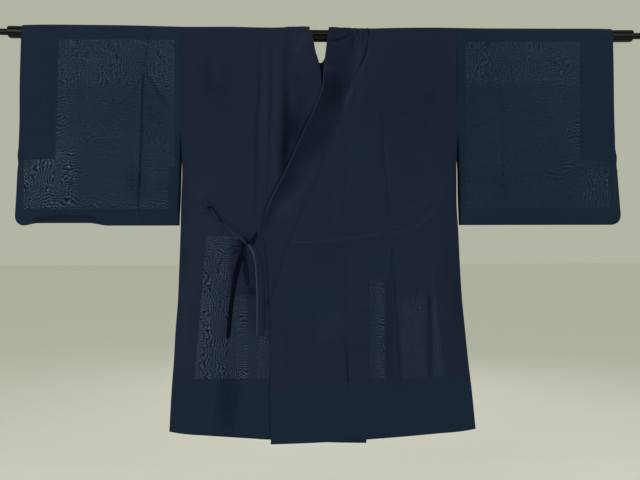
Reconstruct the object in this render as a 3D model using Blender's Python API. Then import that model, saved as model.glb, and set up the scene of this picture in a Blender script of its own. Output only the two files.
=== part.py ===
"""Gauze kimono coat hanging on a rod through its sleeves.

Metres, +Z up. The origin is on the rod's axis at the middle of the garment. The front faces -Y, so the
wearer's right side is at -X. A place on the cloth is given as (x, s): x across the garment, and s along
the cloth from the fold on top of the rod, negative down the front and positive down the back.
drape() turns such a place into a point in space, and every piece of cloth is made through it.
"""
import math

import bpy
import numpy as np

# Rod
ROD_RADIUS = 0.0135
ROD_CENTRE = 0.0075
ROD_HALF = 0.7035
ROD_CHAMFER = 0.002
ROD_END_RADIUS = 0.0070
ROD_END_LENGTH = 0.055
ROD_SIDES = 32

# Cloth layers, from the rod outwards
TOUCH = 0.0003
ROD_CLEARANCE = 0.0008
LINING_WALL = 0.0010
WALL = 0.0012
HEM_WALL = 0.0022
COLLAR_WALL = 0.0020
COLLAR_PROUD = 0.0006
OUTER_RADIUS = ROD_RADIUS + ROD_CLEARANCE + LINING_WALL + TOUCH + WALL
SEAM = 0.0004
QUARTER = OUTER_RADIUS * math.pi / 2

# Lengths of the garment, measured down from the rod's axis
SLEEVE_DROP = 0.430
ARMHOLE = 0.228
SIDE_OPENING_END = 0.318
CUFF_OPENING = 0.285
HEM_DROP = 0.8855
HEM_TURN = 0.757
HEM_TURN_STEP = 0.008
OKUMI_TOP = 0.165
OKUMI_CLEAR = 0.006
BACK_NECK_EDGE = 0.056
BACK_NECK_SEAM = 0.130

# Widths
OKUMI_SEAM_RIGHT = -0.0520
OKUMI_SEAM_LEFT = 0.0515
NECK_RIGHT = 0.083
NECK_LEFT = 0.111
COLLAR_EDGE_RIGHT = 0.0250
COLLAR_EDGE_LEFT = 0.0180
CUFF_FACING_EDGE = 0.584
FACING_INSET = 0.0015
LINING_INSET = 0.004
LINING_STEP_IN = 0.021
SLEEVE_CORNER = 0.022

# How the two layers of the tube come together
NARROWING = 0.15
SIDE_TAPER = 0.060
CUFF_TAPER = 0.050
CUFF_TAPER_RUN = 0.030
BOTTOM_TAPER = 0.068
LOOSE_EDGE_TAPER = 0.050
LOOSE_EDGE_AMOUNT = 0.70
LOOSE_EDGE_START = 0.205
LOOSE_EDGE_RUN = 0.080
HALF_TOUCH = 0.00015
INNER_SAG = 0.0020
INNER_SAG_RUN = 0.050

# Where the left front lies over the right one it stands off: how far, and where that starts
OVERLAP_LIFT = 0.0035
OVERLAP_TOP = 0.015
OVERLAP_RUN = 0.085
OVERLAP_SIDE = 0.290
OVERLAP_WIDTH = 0.140

# How the hem swings down towards the front corners and the centre back
SWING_START = 0.520
FRONT_CORNER_DIP = 0.0245
FRONT_DIP_BELLY = 0.22
BACK_CENTRE_DIP = 0.006
BACK_DIP_HALF = 0.330

# The right sleeve's lower edge curls up between two places across it
CURL_HEIGHT = 0.006
CURL_START = 0.380
CURL_RUN = 0.050
CURL_OUTER = -0.668
CURL_OUTER_RUN = 0.040
CURL_INNER = -0.474
CURL_INNER_RUN = 0.045

# Body sides: drop, edge on the wearer's right, edge on the left
SIDE_EDGE = {
    "drop":  (0.000, 0.228, 0.318, 0.396, 0.437, 0.529, 0.601, 0.662, 0.729, 0.794, 0.8855),
    "right": (-0.3105, -0.3105, -0.3112, -0.3136, -0.3142, -0.3169, -0.3196, -0.3242, -0.3276,
              -0.3322, -0.3370),
    "left":  (0.3060, 0.3047, 0.3062, 0.3065, 0.3088, 0.3124, 0.3164, 0.3219, 0.3280,
              0.3352, 0.3436),
}

# Sleeve edges: drop, body-side edge and cuff edge of each sleeve
SLEEVE_EDGE = {
    "drop":        (0.000, 0.107, 0.228, 0.270, 0.286, 0.300, 0.318, 0.360, 0.404),
    "right_inner": (-0.3109, -0.3109, -0.3109, -0.3125, -0.3130, -0.3134, -0.3138, -0.3147, -0.3165),
    "right_cuff":  (-0.6640, -0.6656, -0.6658, -0.6682, -0.6716, -0.6756, -0.6766, -0.6782, -0.6803),
    "left_inner":  (0.3064, 0.3058, 0.3051, 0.3068, 0.3074, 0.3080, 0.3085, 0.3092, 0.3100),
    "left_cuff":   (0.6620, 0.6618, 0.6620, 0.6640, 0.6697, 0.6738, 0.6752, 0.6778, 0.6806),
}

# Front collars: drop, free edge and sewn edge of the band on each side
COLLAR_EDGE = {
    "drop":       (0.000, 0.017, 0.040, 0.065, 0.092, 0.119, 0.165, 0.218,
                   0.265, 0.318, 0.385, 0.437, 0.480, 0.540, 0.601),
    "right_free": (-0.0190, -0.0160, -0.0120, -0.0045, 0.0002, 0.0035, 0.0110, 0.0370,
                   0.0580, 0.0820, 0.1100, 0.1220, 0.1150, 0.1085, 0.1045),
    "right_sewn": (-0.0830, -0.0815, -0.0780, -0.0730, -0.0670, -0.0605, -0.0520, -0.0350,
                   -0.0150, 0.0075, 0.0355, 0.0560, 0.0730, 0.0880, 0.1025),
    "left_free":  (0.0156, 0.0134, 0.0107, 0.0076, 0.0053, 0.0030, -0.0130, -0.0380,
                   -0.0600, -0.0845, -0.1180, -0.1320, -0.1240, -0.1175, -0.1155),
    "left_sewn":  (0.1085, 0.1070, 0.1045, 0.0945, 0.0765, 0.0655, 0.0515, 0.0370,
                   0.0165, -0.0060, -0.0345, -0.0570, -0.0750, -0.0935, -0.1135),
}

# Free front edges below the collar
FRONT_EDGE = {
    "drop":  (0.601, 0.757, 0.8855),
    "right": (0.1030, 0.1000, 0.0975),
    "left":  (-0.1140, -0.1130, -0.1120),
}

# Largest folds of the cloth: face, place at the top and the bottom of the fold, half width, relief
FOLDS = {
    "face":       ("front", "front", "front", "front", "front", "front", "front", "front",
                   "back", "back", "back", "back", "back"),
    "top_x":      (-0.143, -0.079, -0.235, -0.390, 0.455, 0.190, 0.160, 0.236,
                   -0.150, 0.165, -0.420, 0.430, 0.010),
    "top_drop":   (0.030, 0.060, 0.120, 0.060, 0.050, 0.200, 0.480, 0.480,
                   0.160, 0.200, 0.060, 0.070, 0.260),
    "bottom_x":   (-0.145, -0.075, -0.250, -0.405, 0.440, 0.205, 0.166, 0.242,
                   -0.170, 0.190, -0.440, 0.450, 0.020),
    "bottom_drop": (0.450, 0.340, 0.600, 0.330, 0.330, 0.860, 0.800, 0.800,
                    0.760, 0.800, 0.330, 0.330, 0.820),
    "half_width": (0.024, 0.014, 0.030, 0.030, 0.034, 0.030, 0.014, 0.014,
                   0.036, 0.040, 0.034, 0.034, 0.034),
    "relief":     (-0.0030, -0.0028, 0.0020, 0.0035, 0.0025, 0.0025, -0.0022, -0.0022,
                   0.0035, 0.0030, 0.0030, 0.0030, 0.0025),
}

# Rows of the grids: drops below the rod's axis, and turns over the rod
FRONT_DROPS = (0.017, 0.040, 0.065, 0.092, 0.119, 0.165, 0.218, 0.265, 0.318, 0.385, 0.437,
               0.480, 0.540, 0.601, 0.680, 0.757, 0.765, 0.825, 0.8855)
BACK_DROPS = (0.170, 0.228, 0.270, 0.318, 0.385, 0.437, 0.520, 0.601, 0.680, 0.757, 0.765, 0.825,
              0.8855)
SLEEVE_DROPS = (0.050, 0.110, 0.170, 0.228, 0.270, 0.285, 0.300, 0.330, 0.360, 0.385, 0.404, 0.416,
                0.424, 0.430)
LINING_FRONT_DROPS = (0.030, 0.060, 0.092)
LINING_BACK_DROPS = (0.170, 0.228, 0.270, 0.318, 0.385, 0.445)
FACING_DROPS = (0.050, 0.110, 0.170, 0.228, 0.270, 0.285)
TURNS = 4
NECK_STEPS = (0.16, 0.32, 0.48, 0.64, 0.78, 0.88, 0.95, 1.0)

# Share of a fold's length over which it rises and dies out, and the step that normals are taken over
FOLD_FADE = 0.25
NORMAL_STEP = 0.002

# Columns of the grids
BODY_COLUMNS = 16
OKUMI_COLUMNS = 8
COLLAR_COLUMNS = 4
SLEEVE_COLUMNS = 16
FACING_COLUMNS = 3
LINING_COLUMNS = 6
TIE_COLUMNS = 2

# Ties
TIE_WALL = 0.0015
TIE_CLEAR = 0.0006
KNOT_CENTRE = (-0.173, 0.464)
KNOT_HALF = (0.0120, 0.0048, 0.0105)
KNOT_SEGMENTS = 16
KNOT_RINGS = 10

# Each stretch of tie: places across the garment, drops and half widths along its middle
TIE_RIGHT = {
    "x":     (-0.2600, -0.2400, -0.2180, -0.1990, -0.1858),
    "drop":  (0.3790, 0.3980, 0.4210, 0.4400, 0.4535),
    "half":  (0.0080, 0.0065, 0.0065, 0.0075, 0.0060),
}
TIE_LEFT = {
    "x":     (-0.1605, -0.1530, -0.1460, -0.1405),
    "drop":  (0.4580, 0.4505, 0.4435, 0.4380),
    "half":  (0.0060, 0.0070, 0.0075, 0.0080),
}
TIE_TAIL_RIGHT = {
    "x":     (-0.1800, -0.1815, -0.1860, -0.1920, -0.1985, -0.2035, -0.2060),
    "drop":  (0.4755, 0.4950, 0.5250, 0.5600, 0.6000, 0.6420, 0.6770),
    "half":  (0.0045, 0.0050, 0.0048, 0.0046, 0.0046, 0.0050, 0.0054),
}
TIE_TAIL_LEFT = {
    "x":     (-0.1580, -0.1495, -0.1410, -0.1360, -0.1327, -0.1322, -0.1320),
    "drop":  (0.4735, 0.4845, 0.5050, 0.5400, 0.5800, 0.6250, 0.6680),
    "half":  (0.0050, 0.0060, 0.0068, 0.0078, 0.0084, 0.0084, 0.0084),
}
TIE_LOOP = {
    "x":     (-0.1700, -0.1690, -0.1675, -0.1655, -0.1635),
    "drop":  (0.4765, 0.4950, 0.5200, 0.5480, 0.5700),
    "half":  (0.0040, 0.0055, 0.0068, 0.0075, 0.0060),
}


def clear_scene():
    for item in list(bpy.data.objects):
        bpy.data.objects.remove(item, do_unlink=True)


def material(name, colour, roughness, metallic=0.0):
    """A Principled material of one colour."""
    made = bpy.data.materials.new(name)
    made.use_nodes = True
    shader = made.node_tree.nodes["Principled BSDF"]
    shader.inputs["Base Color"].default_value = (*colour, 1.0)
    shader.inputs["Roughness"].default_value = roughness
    shader.inputs["Metallic"].default_value = metallic
    return made


def add_object(name, vertices, faces, finish, smooth_angle=40.0):
    """A mesh object from plain vertices and faces, shaded smooth up to an angle."""
    mesh = bpy.data.meshes.new(name)
    mesh.from_pydata(vertices, [], faces)
    mesh.validate()
    mesh.shade_smooth()
    mesh.set_sharp_from_angle(angle=math.radians(smooth_angle))
    mesh.materials.append(finish)
    made = bpy.data.objects.new(name, mesh)
    bpy.context.scene.collection.objects.link(made)
    return made


def smooth(value):
    """0 below 0, 1 above 1, and an even S between."""
    value = min(max(value, 0.0), 1.0)
    return value * value * (3.0 - 2.0 * value)


def read(table, column, drop):
    """The value of one column of a table at a drop."""
    return float(np.interp(drop, table["drop"], table[column]))


def drop_of(s):
    """How far below the rod's axis a place on the cloth hangs, 0 on the rod."""
    return max(abs(s) - QUARTER, 0.0)


def s_of(drop, face):
    """The place along the cloth at a drop on one face."""
    return (QUARTER + drop) * (-1.0 if face == "front" else 1.0)


def hang(drop):
    """Distance of the outer face of the hanging cloth from the garment's middle plane."""
    return OUTER_RADIUS * (1.0 - NARROWING * smooth(drop / HEM_DROP))


def wall_at(drop):
    """Thickness of a panel: one layer, and the turned hem doubled inside."""
    return WALL + (HEM_WALL - WALL) * smooth((drop - HEM_TURN) / HEM_TURN_STEP)


def taper(distance, width, amount):
    """Share of the depth that is left at a distance from a seam that joins front and back."""
    near = 1.0 - min(max(distance / width, 0.0), 1.0)
    return 1.0 - amount * near * near


def fold_relief(x, drop, face):
    """Height of the large folds at a place."""
    relief = 0.0
    for row in range(len(FOLDS["face"])):
        top, bottom = FOLDS["top_drop"][row], FOLDS["bottom_drop"][row]
        if FOLDS["face"][row] != face or not top < drop < bottom:
            continue
        along = (drop - top) / (bottom - top)
        middle = FOLDS["top_x"][row] + (FOLDS["bottom_x"][row] - FOLDS["top_x"][row]) * along
        across = (x - middle) / FOLDS["half_width"][row]
        fade = smooth(along / FOLD_FADE) * smooth((1.0 - along) / FOLD_FADE)
        relief += FOLDS["relief"][row] * fade * math.exp(-across * across)
    return relief


def body_share(x, drop):
    """Share of the body's depth at a place, down to 0 at the sewn side seams."""
    sewn = smooth((drop - ARMHOLE) / (SIDE_OPENING_END - ARMHOLE))
    from_right = x - read(SIDE_EDGE, "right", drop)
    from_left = read(SIDE_EDGE, "left", drop) - x
    return taper(min(from_right, from_left), SIDE_TAPER, sewn)


def sleeve_share(x, drop):
    """Share of a sleeve's depth: 0 at the bottom and below the cuff opening, less at the loose edge."""
    side = "right" if x < 0.0 else "left"
    sewn = smooth((drop - CUFF_OPENING) / CUFF_TAPER_RUN + 0.5)
    loose = LOOSE_EDGE_AMOUNT * smooth((drop - LOOSE_EDGE_START) / LOOSE_EDGE_RUN)
    from_cuff = abs(read(SLEEVE_EDGE, side + "_cuff", drop)) - abs(x)
    from_body = abs(x) - abs(read(SLEEVE_EDGE, side + "_inner", drop))
    share = taper(from_cuff, CUFF_TAPER, sewn) * taper(from_body, LOOSE_EDGE_TAPER, loose)
    return share * taper(SLEEVE_DROP - drop, BOTTOM_TAPER, 1.0)


def back_shift(x, drop):
    """How much lower the back hangs towards its centre."""
    low = smooth((drop - SWING_START) / (HEM_DROP - SWING_START))
    return low * BACK_CENTRE_DIP * smooth(1.0 - min(abs(x) / BACK_DIP_HALF, 1.0))


def front_shift(x, drop, side):
    """How much lower a front panel hangs towards its front corner."""
    low = smooth((drop - SWING_START) / (HEM_DROP - SWING_START))
    outer = read(SIDE_EDGE, side, drop)
    inner = read(FRONT_EDGE, side, drop)
    towards = min(max((outer - x) / (outer - inner), 0.0), 1.0)
    return low * FRONT_CORNER_DIP * towards * (1.0 + FRONT_DIP_BELLY * math.sin(math.pi * towards))


def sleeve_curl(x, drop):
    """How much higher the right sleeve's lower edge lies where it curls up."""
    low = smooth((drop - CURL_START) / CURL_RUN)
    outer = smooth((x - CURL_OUTER) / CURL_OUTER_RUN)
    return low * CURL_HEIGHT * outer * smooth((CURL_INNER - x) / CURL_INNER_RUN)


def left_lift(x, drop):
    """The left front lies over the right one, so it stands off it where they overlap."""
    below = smooth((drop - OVERLAP_TOP) / OVERLAP_RUN)
    return OVERLAP_LIFT * below * smooth((OVERLAP_SIDE - x) / OVERLAP_WIDTH)


def drape(x, s, part, out=0.0):
    """The point in space of a place on the cloth, moved out from the outer face by out.

    part is body_right, body_left, sleeve, or lining or facing for what hangs inside those.
    """
    face = "front" if s < 0.0 else "back"
    if abs(s) <= QUARTER:
        angle = s / OUTER_RADIUS
        radius = OUTER_RADIUS + out
        return np.array((x, radius * math.sin(angle), radius * math.cos(angle)))
    drop = drop_of(s)
    share = sleeve_share(x, drop) if part in ("sleeve", "facing") else body_share(x, drop)
    least = wall_at(drop) + HALF_TOUCH
    if part in ("lining", "facing"):
        depth = least + (hang(drop) - least) * share - INNER_SAG * smooth(drop / INNER_SAG_RUN)
        return np.array((x, math.copysign(depth + out, s), -drop))
    depth = least + (hang(drop) + fold_relief(x, drop, face) - least) * share
    if part == "sleeve":
        lower = -sleeve_curl(x, drop)
    elif face == "back":
        lower = back_shift(x, drop)
    else:
        lower = front_shift(x, drop, part.split("_")[1])
    if part == "body_left" and face == "front":
        depth += left_lift(x, drop)
    return np.array((x, math.copysign(depth + out, s), -(drop + lower)))


def outward(x, s, part):
    """Unit normal of the cloth at a place, pointing away from the hollow."""
    across = drape(x + NORMAL_STEP, s, part) - drape(x - NORMAL_STEP, s, part)
    along = drape(x, s + NORMAL_STEP, part) - drape(x, s - NORMAL_STEP, part)
    normal = np.cross(across, along)
    return normal / np.linalg.norm(normal)


def wall_solid(name, finish, rows, columns, place, part, out, thickness):
    """A closed wall: place(row, share) gives (x, s) from the lower x to the higher x of each row.

    thickness(s) is the wall's depth inwards from the outer face.
    """
    count = columns + 1
    outer, inner = [], []
    for row in range(rows):
        for column in range(count):
            x, s = place(row, column / columns)
            point = drape(x, s, part, out)
            outer.append(tuple(point))
            inner.append(tuple(point - outward(x, s, part) * thickness(s)))
    total = rows * count
    faces = []
    for row in range(rows - 1):
        for column in range(columns):
            a = row * count + column
            b, c, d = a + 1, a + 1 + count, a + count
            faces.append((a, b, c, d))
            faces.append((total + a, total + d, total + c, total + b))
    ring = [column for column in range(count)]
    ring += [row * count + columns for row in range(1, rows)]
    ring += [(rows - 1) * count + column for column in range(columns - 1, -1, -1)]
    ring += [row * count for row in range(rows - 2, 0, -1)]
    for index, here in enumerate(ring):
        there = ring[(index + 1) % len(ring)]
        faces.append((there, here, total + here, total + there))
    return add_object(name, outer + inner, faces, finish)


def turn_rows():
    """Places along the cloth that lie on the rod, from its front to its back."""
    return [QUARTER * turn / TURNS for turn in range(-TURNS, TURNS + 1)]


def neck_half_width(s, side):
    """Half width of the neck opening at the back, along the collar's sewn edge."""
    wide = (NECK_RIGHT if side == "right" else NECK_LEFT) + SEAM
    long = QUARTER + BACK_NECK_SEAM + SEAM
    return wide * math.sqrt(max(1.0 - (s / long) ** 2, 0.0))


def neck_drops():
    """Drops of the rows beside the back of the neck, ending at its lowest point."""
    long = QUARTER + BACK_NECK_SEAM + SEAM
    first = QUARTER / long
    return [long * (first + (1.0 - first) * step) - QUARTER for step in NECK_STEPS]


def body_inner(side, s):
    """The body panel's edge at the collar, at the overlap panel or at the centre back."""
    sign = -1.0 if side == "right" else 1.0
    if s > -QUARTER:
        return sign * max(neck_half_width(max(s, 0.0), side), TOUCH / 2)
    drop = drop_of(s)
    seam = abs(OKUMI_SEAM_RIGHT if side == "right" else OKUMI_SEAM_LEFT) + SEAM / 2
    if drop > OKUMI_TOP:
        return sign * seam
    return sign * (abs(read(COLLAR_EDGE, side + "_sewn", drop)) + SEAM)


def make_body(side, finish):
    """One body panel, front and back in one length."""
    rows = [s_of(drop, "front") for drop in reversed(FRONT_DROPS)]
    rows += turn_rows()
    rows += [s_of(drop, "back") for drop in neck_drops() + list(BACK_DROPS)]

    def place(row, share):
        s = rows[row]
        ends = sorted((body_inner(side, s), read(SIDE_EDGE, side, drop_of(s))))
        return ends[0] + (ends[1] - ends[0]) * share, s

    return wall_solid("body_" + side, finish, len(rows), BODY_COLUMNS, place, "body_" + side, 0.0,
                      lambda s: wall_at(drop_of(s)))


def make_lining(side, finish):
    """The shoulder lining inside one body panel."""
    rows = [s_of(drop, "front") for drop in reversed(LINING_FRONT_DROPS)]
    rows += turn_rows()
    rows += [s_of(drop, "back") for drop in neck_drops() + list(LINING_BACK_DROPS)]
    sign = -1.0 if side == "right" else 1.0

    def place(row, share):
        s = rows[row]
        drop = drop_of(s)
        away = LINING_INSET + LINING_STEP_IN * smooth((drop - ARMHOLE) / (SIDE_OPENING_END - ARMHOLE))
        ends = sorted((body_inner(side, s), read(SIDE_EDGE, side, drop) - sign * away))
        return ends[0] + (ends[1] - ends[0]) * share, s

    return wall_solid("shoulder_lining_" + side, finish, len(rows), LINING_COLUMNS, place,
                      "lining", -(WALL + TOUCH), lambda s: LINING_WALL)


def make_okumi(side, finish):
    """The overlap panel between the body panel and the front edge."""
    seam = OKUMI_SEAM_RIGHT + SEAM / 2 if side == "right" else OKUMI_SEAM_LEFT - SEAM / 2
    top = OKUMI_TOP + OKUMI_CLEAR
    drops = [top] + [drop for drop in FRONT_DROPS if drop > top]
    rows = [s_of(drop, "front") for drop in reversed(drops)]

    def place(row, share):
        drop = drop_of(rows[row])
        if drop <= FRONT_EDGE["drop"][0]:
            edge = read(COLLAR_EDGE, side + "_sewn", drop)
            edge += -SEAM if side == "right" else SEAM
        else:
            edge = read(FRONT_EDGE, side, drop)
        ends = sorted((seam, edge))
        return ends[0] + (ends[1] - ends[0]) * share, rows[row]

    return wall_solid("okumi_" + side, finish, len(rows), OKUMI_COLUMNS, place, "body_" + side, 0.0,
                      lambda s: wall_at(drop_of(s)))


def make_collar(finish):
    """The collar band, from the right front round the back of the neck to the left front."""
    stations = []
    for drop in reversed(COLLAR_EDGE["drop"]):
        s = s_of(drop, "front")
        stations.append(("right", (read(COLLAR_EDGE, "right_sewn", drop), s),
                         (read(COLLAR_EDGE, "right_free", drop), s)))
    fronts = [s for s in turn_rows() if -QUARTER < s < 0.0]
    for s in fronts:
        stations.append(("right", (-NECK_RIGHT, s), (-COLLAR_EDGE_RIGHT, s)))
    long = QUARTER + BACK_NECK_SEAM
    backs = [s / long for s in turn_rows() if s >= 0.0]
    backs += [backs[-1] + (1.0 - backs[-1]) * step for step in NECK_STEPS]
    free_share = (QUARTER + BACK_NECK_EDGE) / long
    for side, sign, sewn, free in (("right", -1.0, NECK_RIGHT, COLLAR_EDGE_RIGHT),
                                   ("left", 1.0, NECK_LEFT, COLLAR_EDGE_LEFT)):
        quarter = []
        for share in backs:
            reach = math.sqrt(max(1.0 - share * share, 0.0))
            quarter.append((side, (sign * sewn * reach, long * share),
                            (sign * free * reach, long * share * free_share)))
        stations += quarter if side == "right" else quarter[-2::-1]
    for s in reversed(fronts):
        stations.append(("left", (NECK_LEFT, s), (COLLAR_EDGE_LEFT, s)))
    for drop in COLLAR_EDGE["drop"]:
        s = s_of(drop, "front")
        stations.append(("left", (read(COLLAR_EDGE, "left_sewn", drop), s),
                         (read(COLLAR_EDGE, "left_free", drop), s)))

    count = COLLAR_COLUMNS + 1
    outer, inner = [], []
    for side, sewn, free in stations:
        part = "body_" + side
        for column in range(count):
            share = column / COLLAR_COLUMNS
            x = sewn[0] + (free[0] - sewn[0]) * share
            s = sewn[1] + (free[1] - sewn[1]) * share
            point = drape(x, s, part, COLLAR_PROUD)
            outer.append(tuple(point))
            inner.append(tuple(point - outward(x, s, part) * COLLAR_WALL))
    total = len(outer)
    faces = []
    for row in range(len(stations) - 1):
        for column in range(COLLAR_COLUMNS):
            a = row * count + column
            b, c, d = a + 1, a + 1 + count, a + count
            faces.append((a, b, c, d))
            faces.append((total + a, total + d, total + c, total + b))
    last = (len(stations) - 1) * count
    ring = list(range(count)) + [row * count + COLLAR_COLUMNS for row in range(1, len(stations))]
    ring += [last + column for column in range(COLLAR_COLUMNS - 1, -1, -1)]
    ring += [row * count for row in range(len(stations) - 2, 0, -1)]
    for index, here in enumerate(ring):
        there = ring[(index + 1) % len(ring)]
        faces.append((there, here, total + here, total + there))
    return add_object("collar", outer + inner, faces, finish)


def sleeve_cuff(side, drop):
    """The sleeve's outer edge, with its rounded lower corner."""
    edge = abs(read(SLEEVE_EDGE, side + "_cuff", drop))
    into = drop - (SLEEVE_DROP - SLEEVE_CORNER)
    if into > 0.0:
        edge -= SLEEVE_CORNER - math.sqrt(max(SLEEVE_CORNER ** 2 - into ** 2, 0.0))
    return edge


def make_sleeve(side, finish):
    """One sleeve, front and back in one length over the rod."""
    sign = -1.0 if side == "right" else 1.0
    rows = [s_of(drop, "front") for drop in reversed(SLEEVE_DROPS)]
    rows += turn_rows()
    rows += [s_of(drop, "back") for drop in SLEEVE_DROPS]

    def place(row, share):
        s = rows[row]
        drop = drop_of(s)
        ends = sorted((read(SLEEVE_EDGE, side + "_inner", drop), sign * sleeve_cuff(side, drop)))
        return ends[0] + (ends[1] - ends[0]) * share, s

    return wall_solid("sleeve_" + side, finish, len(rows), SLEEVE_COLUMNS, place, "sleeve", 0.0,
                      lambda s: WALL)


def make_cuff_facing(side, finish):
    """The facing inside the cuff opening, front and back in one length."""
    sign = -1.0 if side == "right" else 1.0
    rows = [s_of(drop, "front") for drop in reversed(FACING_DROPS)]
    rows += turn_rows()
    rows += [s_of(drop, "back") for drop in FACING_DROPS]

    def place(row, share):
        s = rows[row]
        outer = sleeve_cuff(side, drop_of(s)) - FACING_INSET
        ends = sorted((sign * CUFF_FACING_EDGE, sign * outer))
        return ends[0] + (ends[1] - ends[0]) * share, s

    return wall_solid("cuff_facing_" + side, finish, len(rows), FACING_COLUMNS, place, "facing",
                      -(WALL + TOUCH), lambda s: LINING_WALL)


def make_tie(name, path, part, finish):
    """A flat stretch of tie that lies on a front panel."""
    count = len(path["x"])
    middle = np.array((path["x"], path["drop"])).T
    along = np.gradient(middle, axis=0)
    along /= np.linalg.norm(along, axis=1)[:, None]

    def place(row, share):
        # Seen from the front, rows run down the tie and each row from its left to its right
        away = path["half"][row] * (1.0 - 2.0 * share)
        x = middle[row][0] + along[row][1] * away
        drop = middle[row][1] - along[row][0] * away
        return x, s_of(drop, "front")

    return wall_solid(name, finish, count, TIE_COLUMNS, place, part, TIE_CLEAR + TIE_WALL,
                      lambda s: TIE_WALL)


def make_knot(finish):
    """The knot: a flat rounded lump on the right front."""
    x, drop = KNOT_CENTRE
    surface = drape(x, s_of(drop, "front"), "body_right", TOUCH)
    centre = (x, surface[1] - KNOT_HALF[1], surface[2])
    vertices = [(centre[0], centre[1], centre[2] + KNOT_HALF[2])]
    for ring in range(1, KNOT_RINGS):
        height = math.cos(math.pi * ring / KNOT_RINGS)
        reach = math.sqrt(1.0 - height * height)
        for segment in range(KNOT_SEGMENTS):
            angle = 2.0 * math.pi * segment / KNOT_SEGMENTS
            vertices.append((centre[0] + KNOT_HALF[0] * reach * math.cos(angle),
                             centre[1] + KNOT_HALF[1] * reach * math.sin(angle),
                             centre[2] + KNOT_HALF[2] * height))
    vertices.append((centre[0], centre[1], centre[2] - KNOT_HALF[2]))
    faces = []
    bottom = len(vertices) - 1
    for segment in range(KNOT_SEGMENTS):
        after = (segment + 1) % KNOT_SEGMENTS
        faces.append((0, 1 + segment, 1 + after))
        for ring in range(KNOT_RINGS - 2):
            first = 1 + ring * KNOT_SEGMENTS
            second = first + KNOT_SEGMENTS
            faces.append((first + segment, second + segment, second + after, first + after))
        last = 1 + (KNOT_RINGS - 2) * KNOT_SEGMENTS
        faces.append((bottom, last + after, last + segment))
    return add_object("tie_knot", vertices, faces, finish)


def make_rod_piece(name, start, end, radius, chamfer, finish):
    """A round bar along X with chamfered ends."""
    profile = ((start, radius - chamfer), (start + chamfer, radius), (end - chamfer, radius),
               (end, radius - chamfer))
    vertices, faces = [], []
    for x, reach in profile:
        for side in range(ROD_SIDES):
            angle = 2.0 * math.pi * side / ROD_SIDES
            vertices.append((x, reach * math.sin(angle), reach * math.cos(angle)))
    for ring in range(len(profile) - 1):
        for side in range(ROD_SIDES):
            after = (side + 1) % ROD_SIDES
            a, b = ring * ROD_SIDES + side, ring * ROD_SIDES + after
            faces.append((a, a + ROD_SIDES, b + ROD_SIDES, b))
    last = (len(profile) - 1) * ROD_SIDES
    faces.append(tuple(range(ROD_SIDES)))
    faces.append(tuple(last + side for side in reversed(range(ROD_SIDES))))
    return add_object(name, vertices, faces, finish)


def make_rod(finish):
    """The thick rod and the thinner ends that come out of it."""
    right, left = ROD_CENTRE - ROD_HALF, ROD_CENTRE + ROD_HALF
    make_rod_piece("rod_tube", right, left, ROD_RADIUS, ROD_CHAMFER, finish)
    make_rod_piece("rod_end_right", right - TOUCH - ROD_END_LENGTH, right - TOUCH, ROD_END_RADIUS,
                   ROD_CHAMFER / 2, finish)
    make_rod_piece("rod_end_left", left + TOUCH, left + TOUCH + ROD_END_LENGTH, ROD_END_RADIUS,
                   ROD_CHAMFER / 2, finish)


def main():
    clear_scene()
    gauze = material("navy_gauze", (0.011, 0.018, 0.036), 0.85)
    lining = material("navy_lining", (0.009, 0.014, 0.028), 0.80)
    tie = material("navy_tie", (0.012, 0.018, 0.038), 0.80)
    lacquer = material("black_rod", (0.006, 0.006, 0.006), 0.25)
    make_rod(lacquer)
    make_collar(gauze)
    for side in ("right", "left"):
        make_body(side, gauze)
        make_okumi(side, gauze)
        make_lining(side, lining)
        make_sleeve(side, gauze)
        make_cuff_facing(side, lining)
    make_tie("tie_right", TIE_RIGHT, "body_right", tie)
    make_tie("tie_left", TIE_LEFT, "body_right", tie)
    make_tie("tie_tail_right", TIE_TAIL_RIGHT, "body_right", tie)
    make_tie("tie_tail_left", TIE_TAIL_LEFT, "body_right", tie)
    make_tie("tie_loop", TIE_LOOP, "body_right", tie)
    make_knot(tie)


main()
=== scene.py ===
"""Looks of the gauze kimono coat that hangs on a rod through its sleeves.

Metres, +Z up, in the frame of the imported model: the origin is on the rod's axis, the front faces -Y
and the wearer's right side is at -X. Cloth is laid out in its own cut: x across the garment, and s along
it from the fold over the rod, negative down the front and positive down the back. A drop is how far a
place hangs below the rod's axis. Where a number has a run beside it, a change starts or ends there and
takes that far.
"""
import math

import bpy
import numpy as np
from mathutils import Matrix, Vector


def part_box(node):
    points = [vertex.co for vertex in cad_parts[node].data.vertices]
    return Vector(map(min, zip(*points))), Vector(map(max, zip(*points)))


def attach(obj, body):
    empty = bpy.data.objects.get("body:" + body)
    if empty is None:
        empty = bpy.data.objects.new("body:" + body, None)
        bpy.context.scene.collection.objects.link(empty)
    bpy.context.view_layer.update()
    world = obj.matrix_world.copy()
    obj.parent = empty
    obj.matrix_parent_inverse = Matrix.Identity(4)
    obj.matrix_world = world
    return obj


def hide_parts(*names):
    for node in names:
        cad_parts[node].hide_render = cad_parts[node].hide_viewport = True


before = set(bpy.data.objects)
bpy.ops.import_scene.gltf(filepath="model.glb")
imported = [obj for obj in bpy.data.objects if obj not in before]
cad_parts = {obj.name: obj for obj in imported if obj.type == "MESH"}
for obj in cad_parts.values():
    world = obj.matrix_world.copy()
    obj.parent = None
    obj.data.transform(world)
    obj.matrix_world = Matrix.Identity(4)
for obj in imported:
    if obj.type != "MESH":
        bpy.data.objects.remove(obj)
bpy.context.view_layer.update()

# Sizes of the rod and of the layers on it
ROD_RADIUS = 0.0135
ROD_END_RADIUS = 0.0070
ROD_ROUNDING = 0.0020
ROD_END_ROUNDING = 0.0010
OUTER_RADIUS = 0.0168
QUARTER = OUTER_RADIUS * math.pi / 2
CLOTH = 0.0007
LINING = 0.0006
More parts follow.
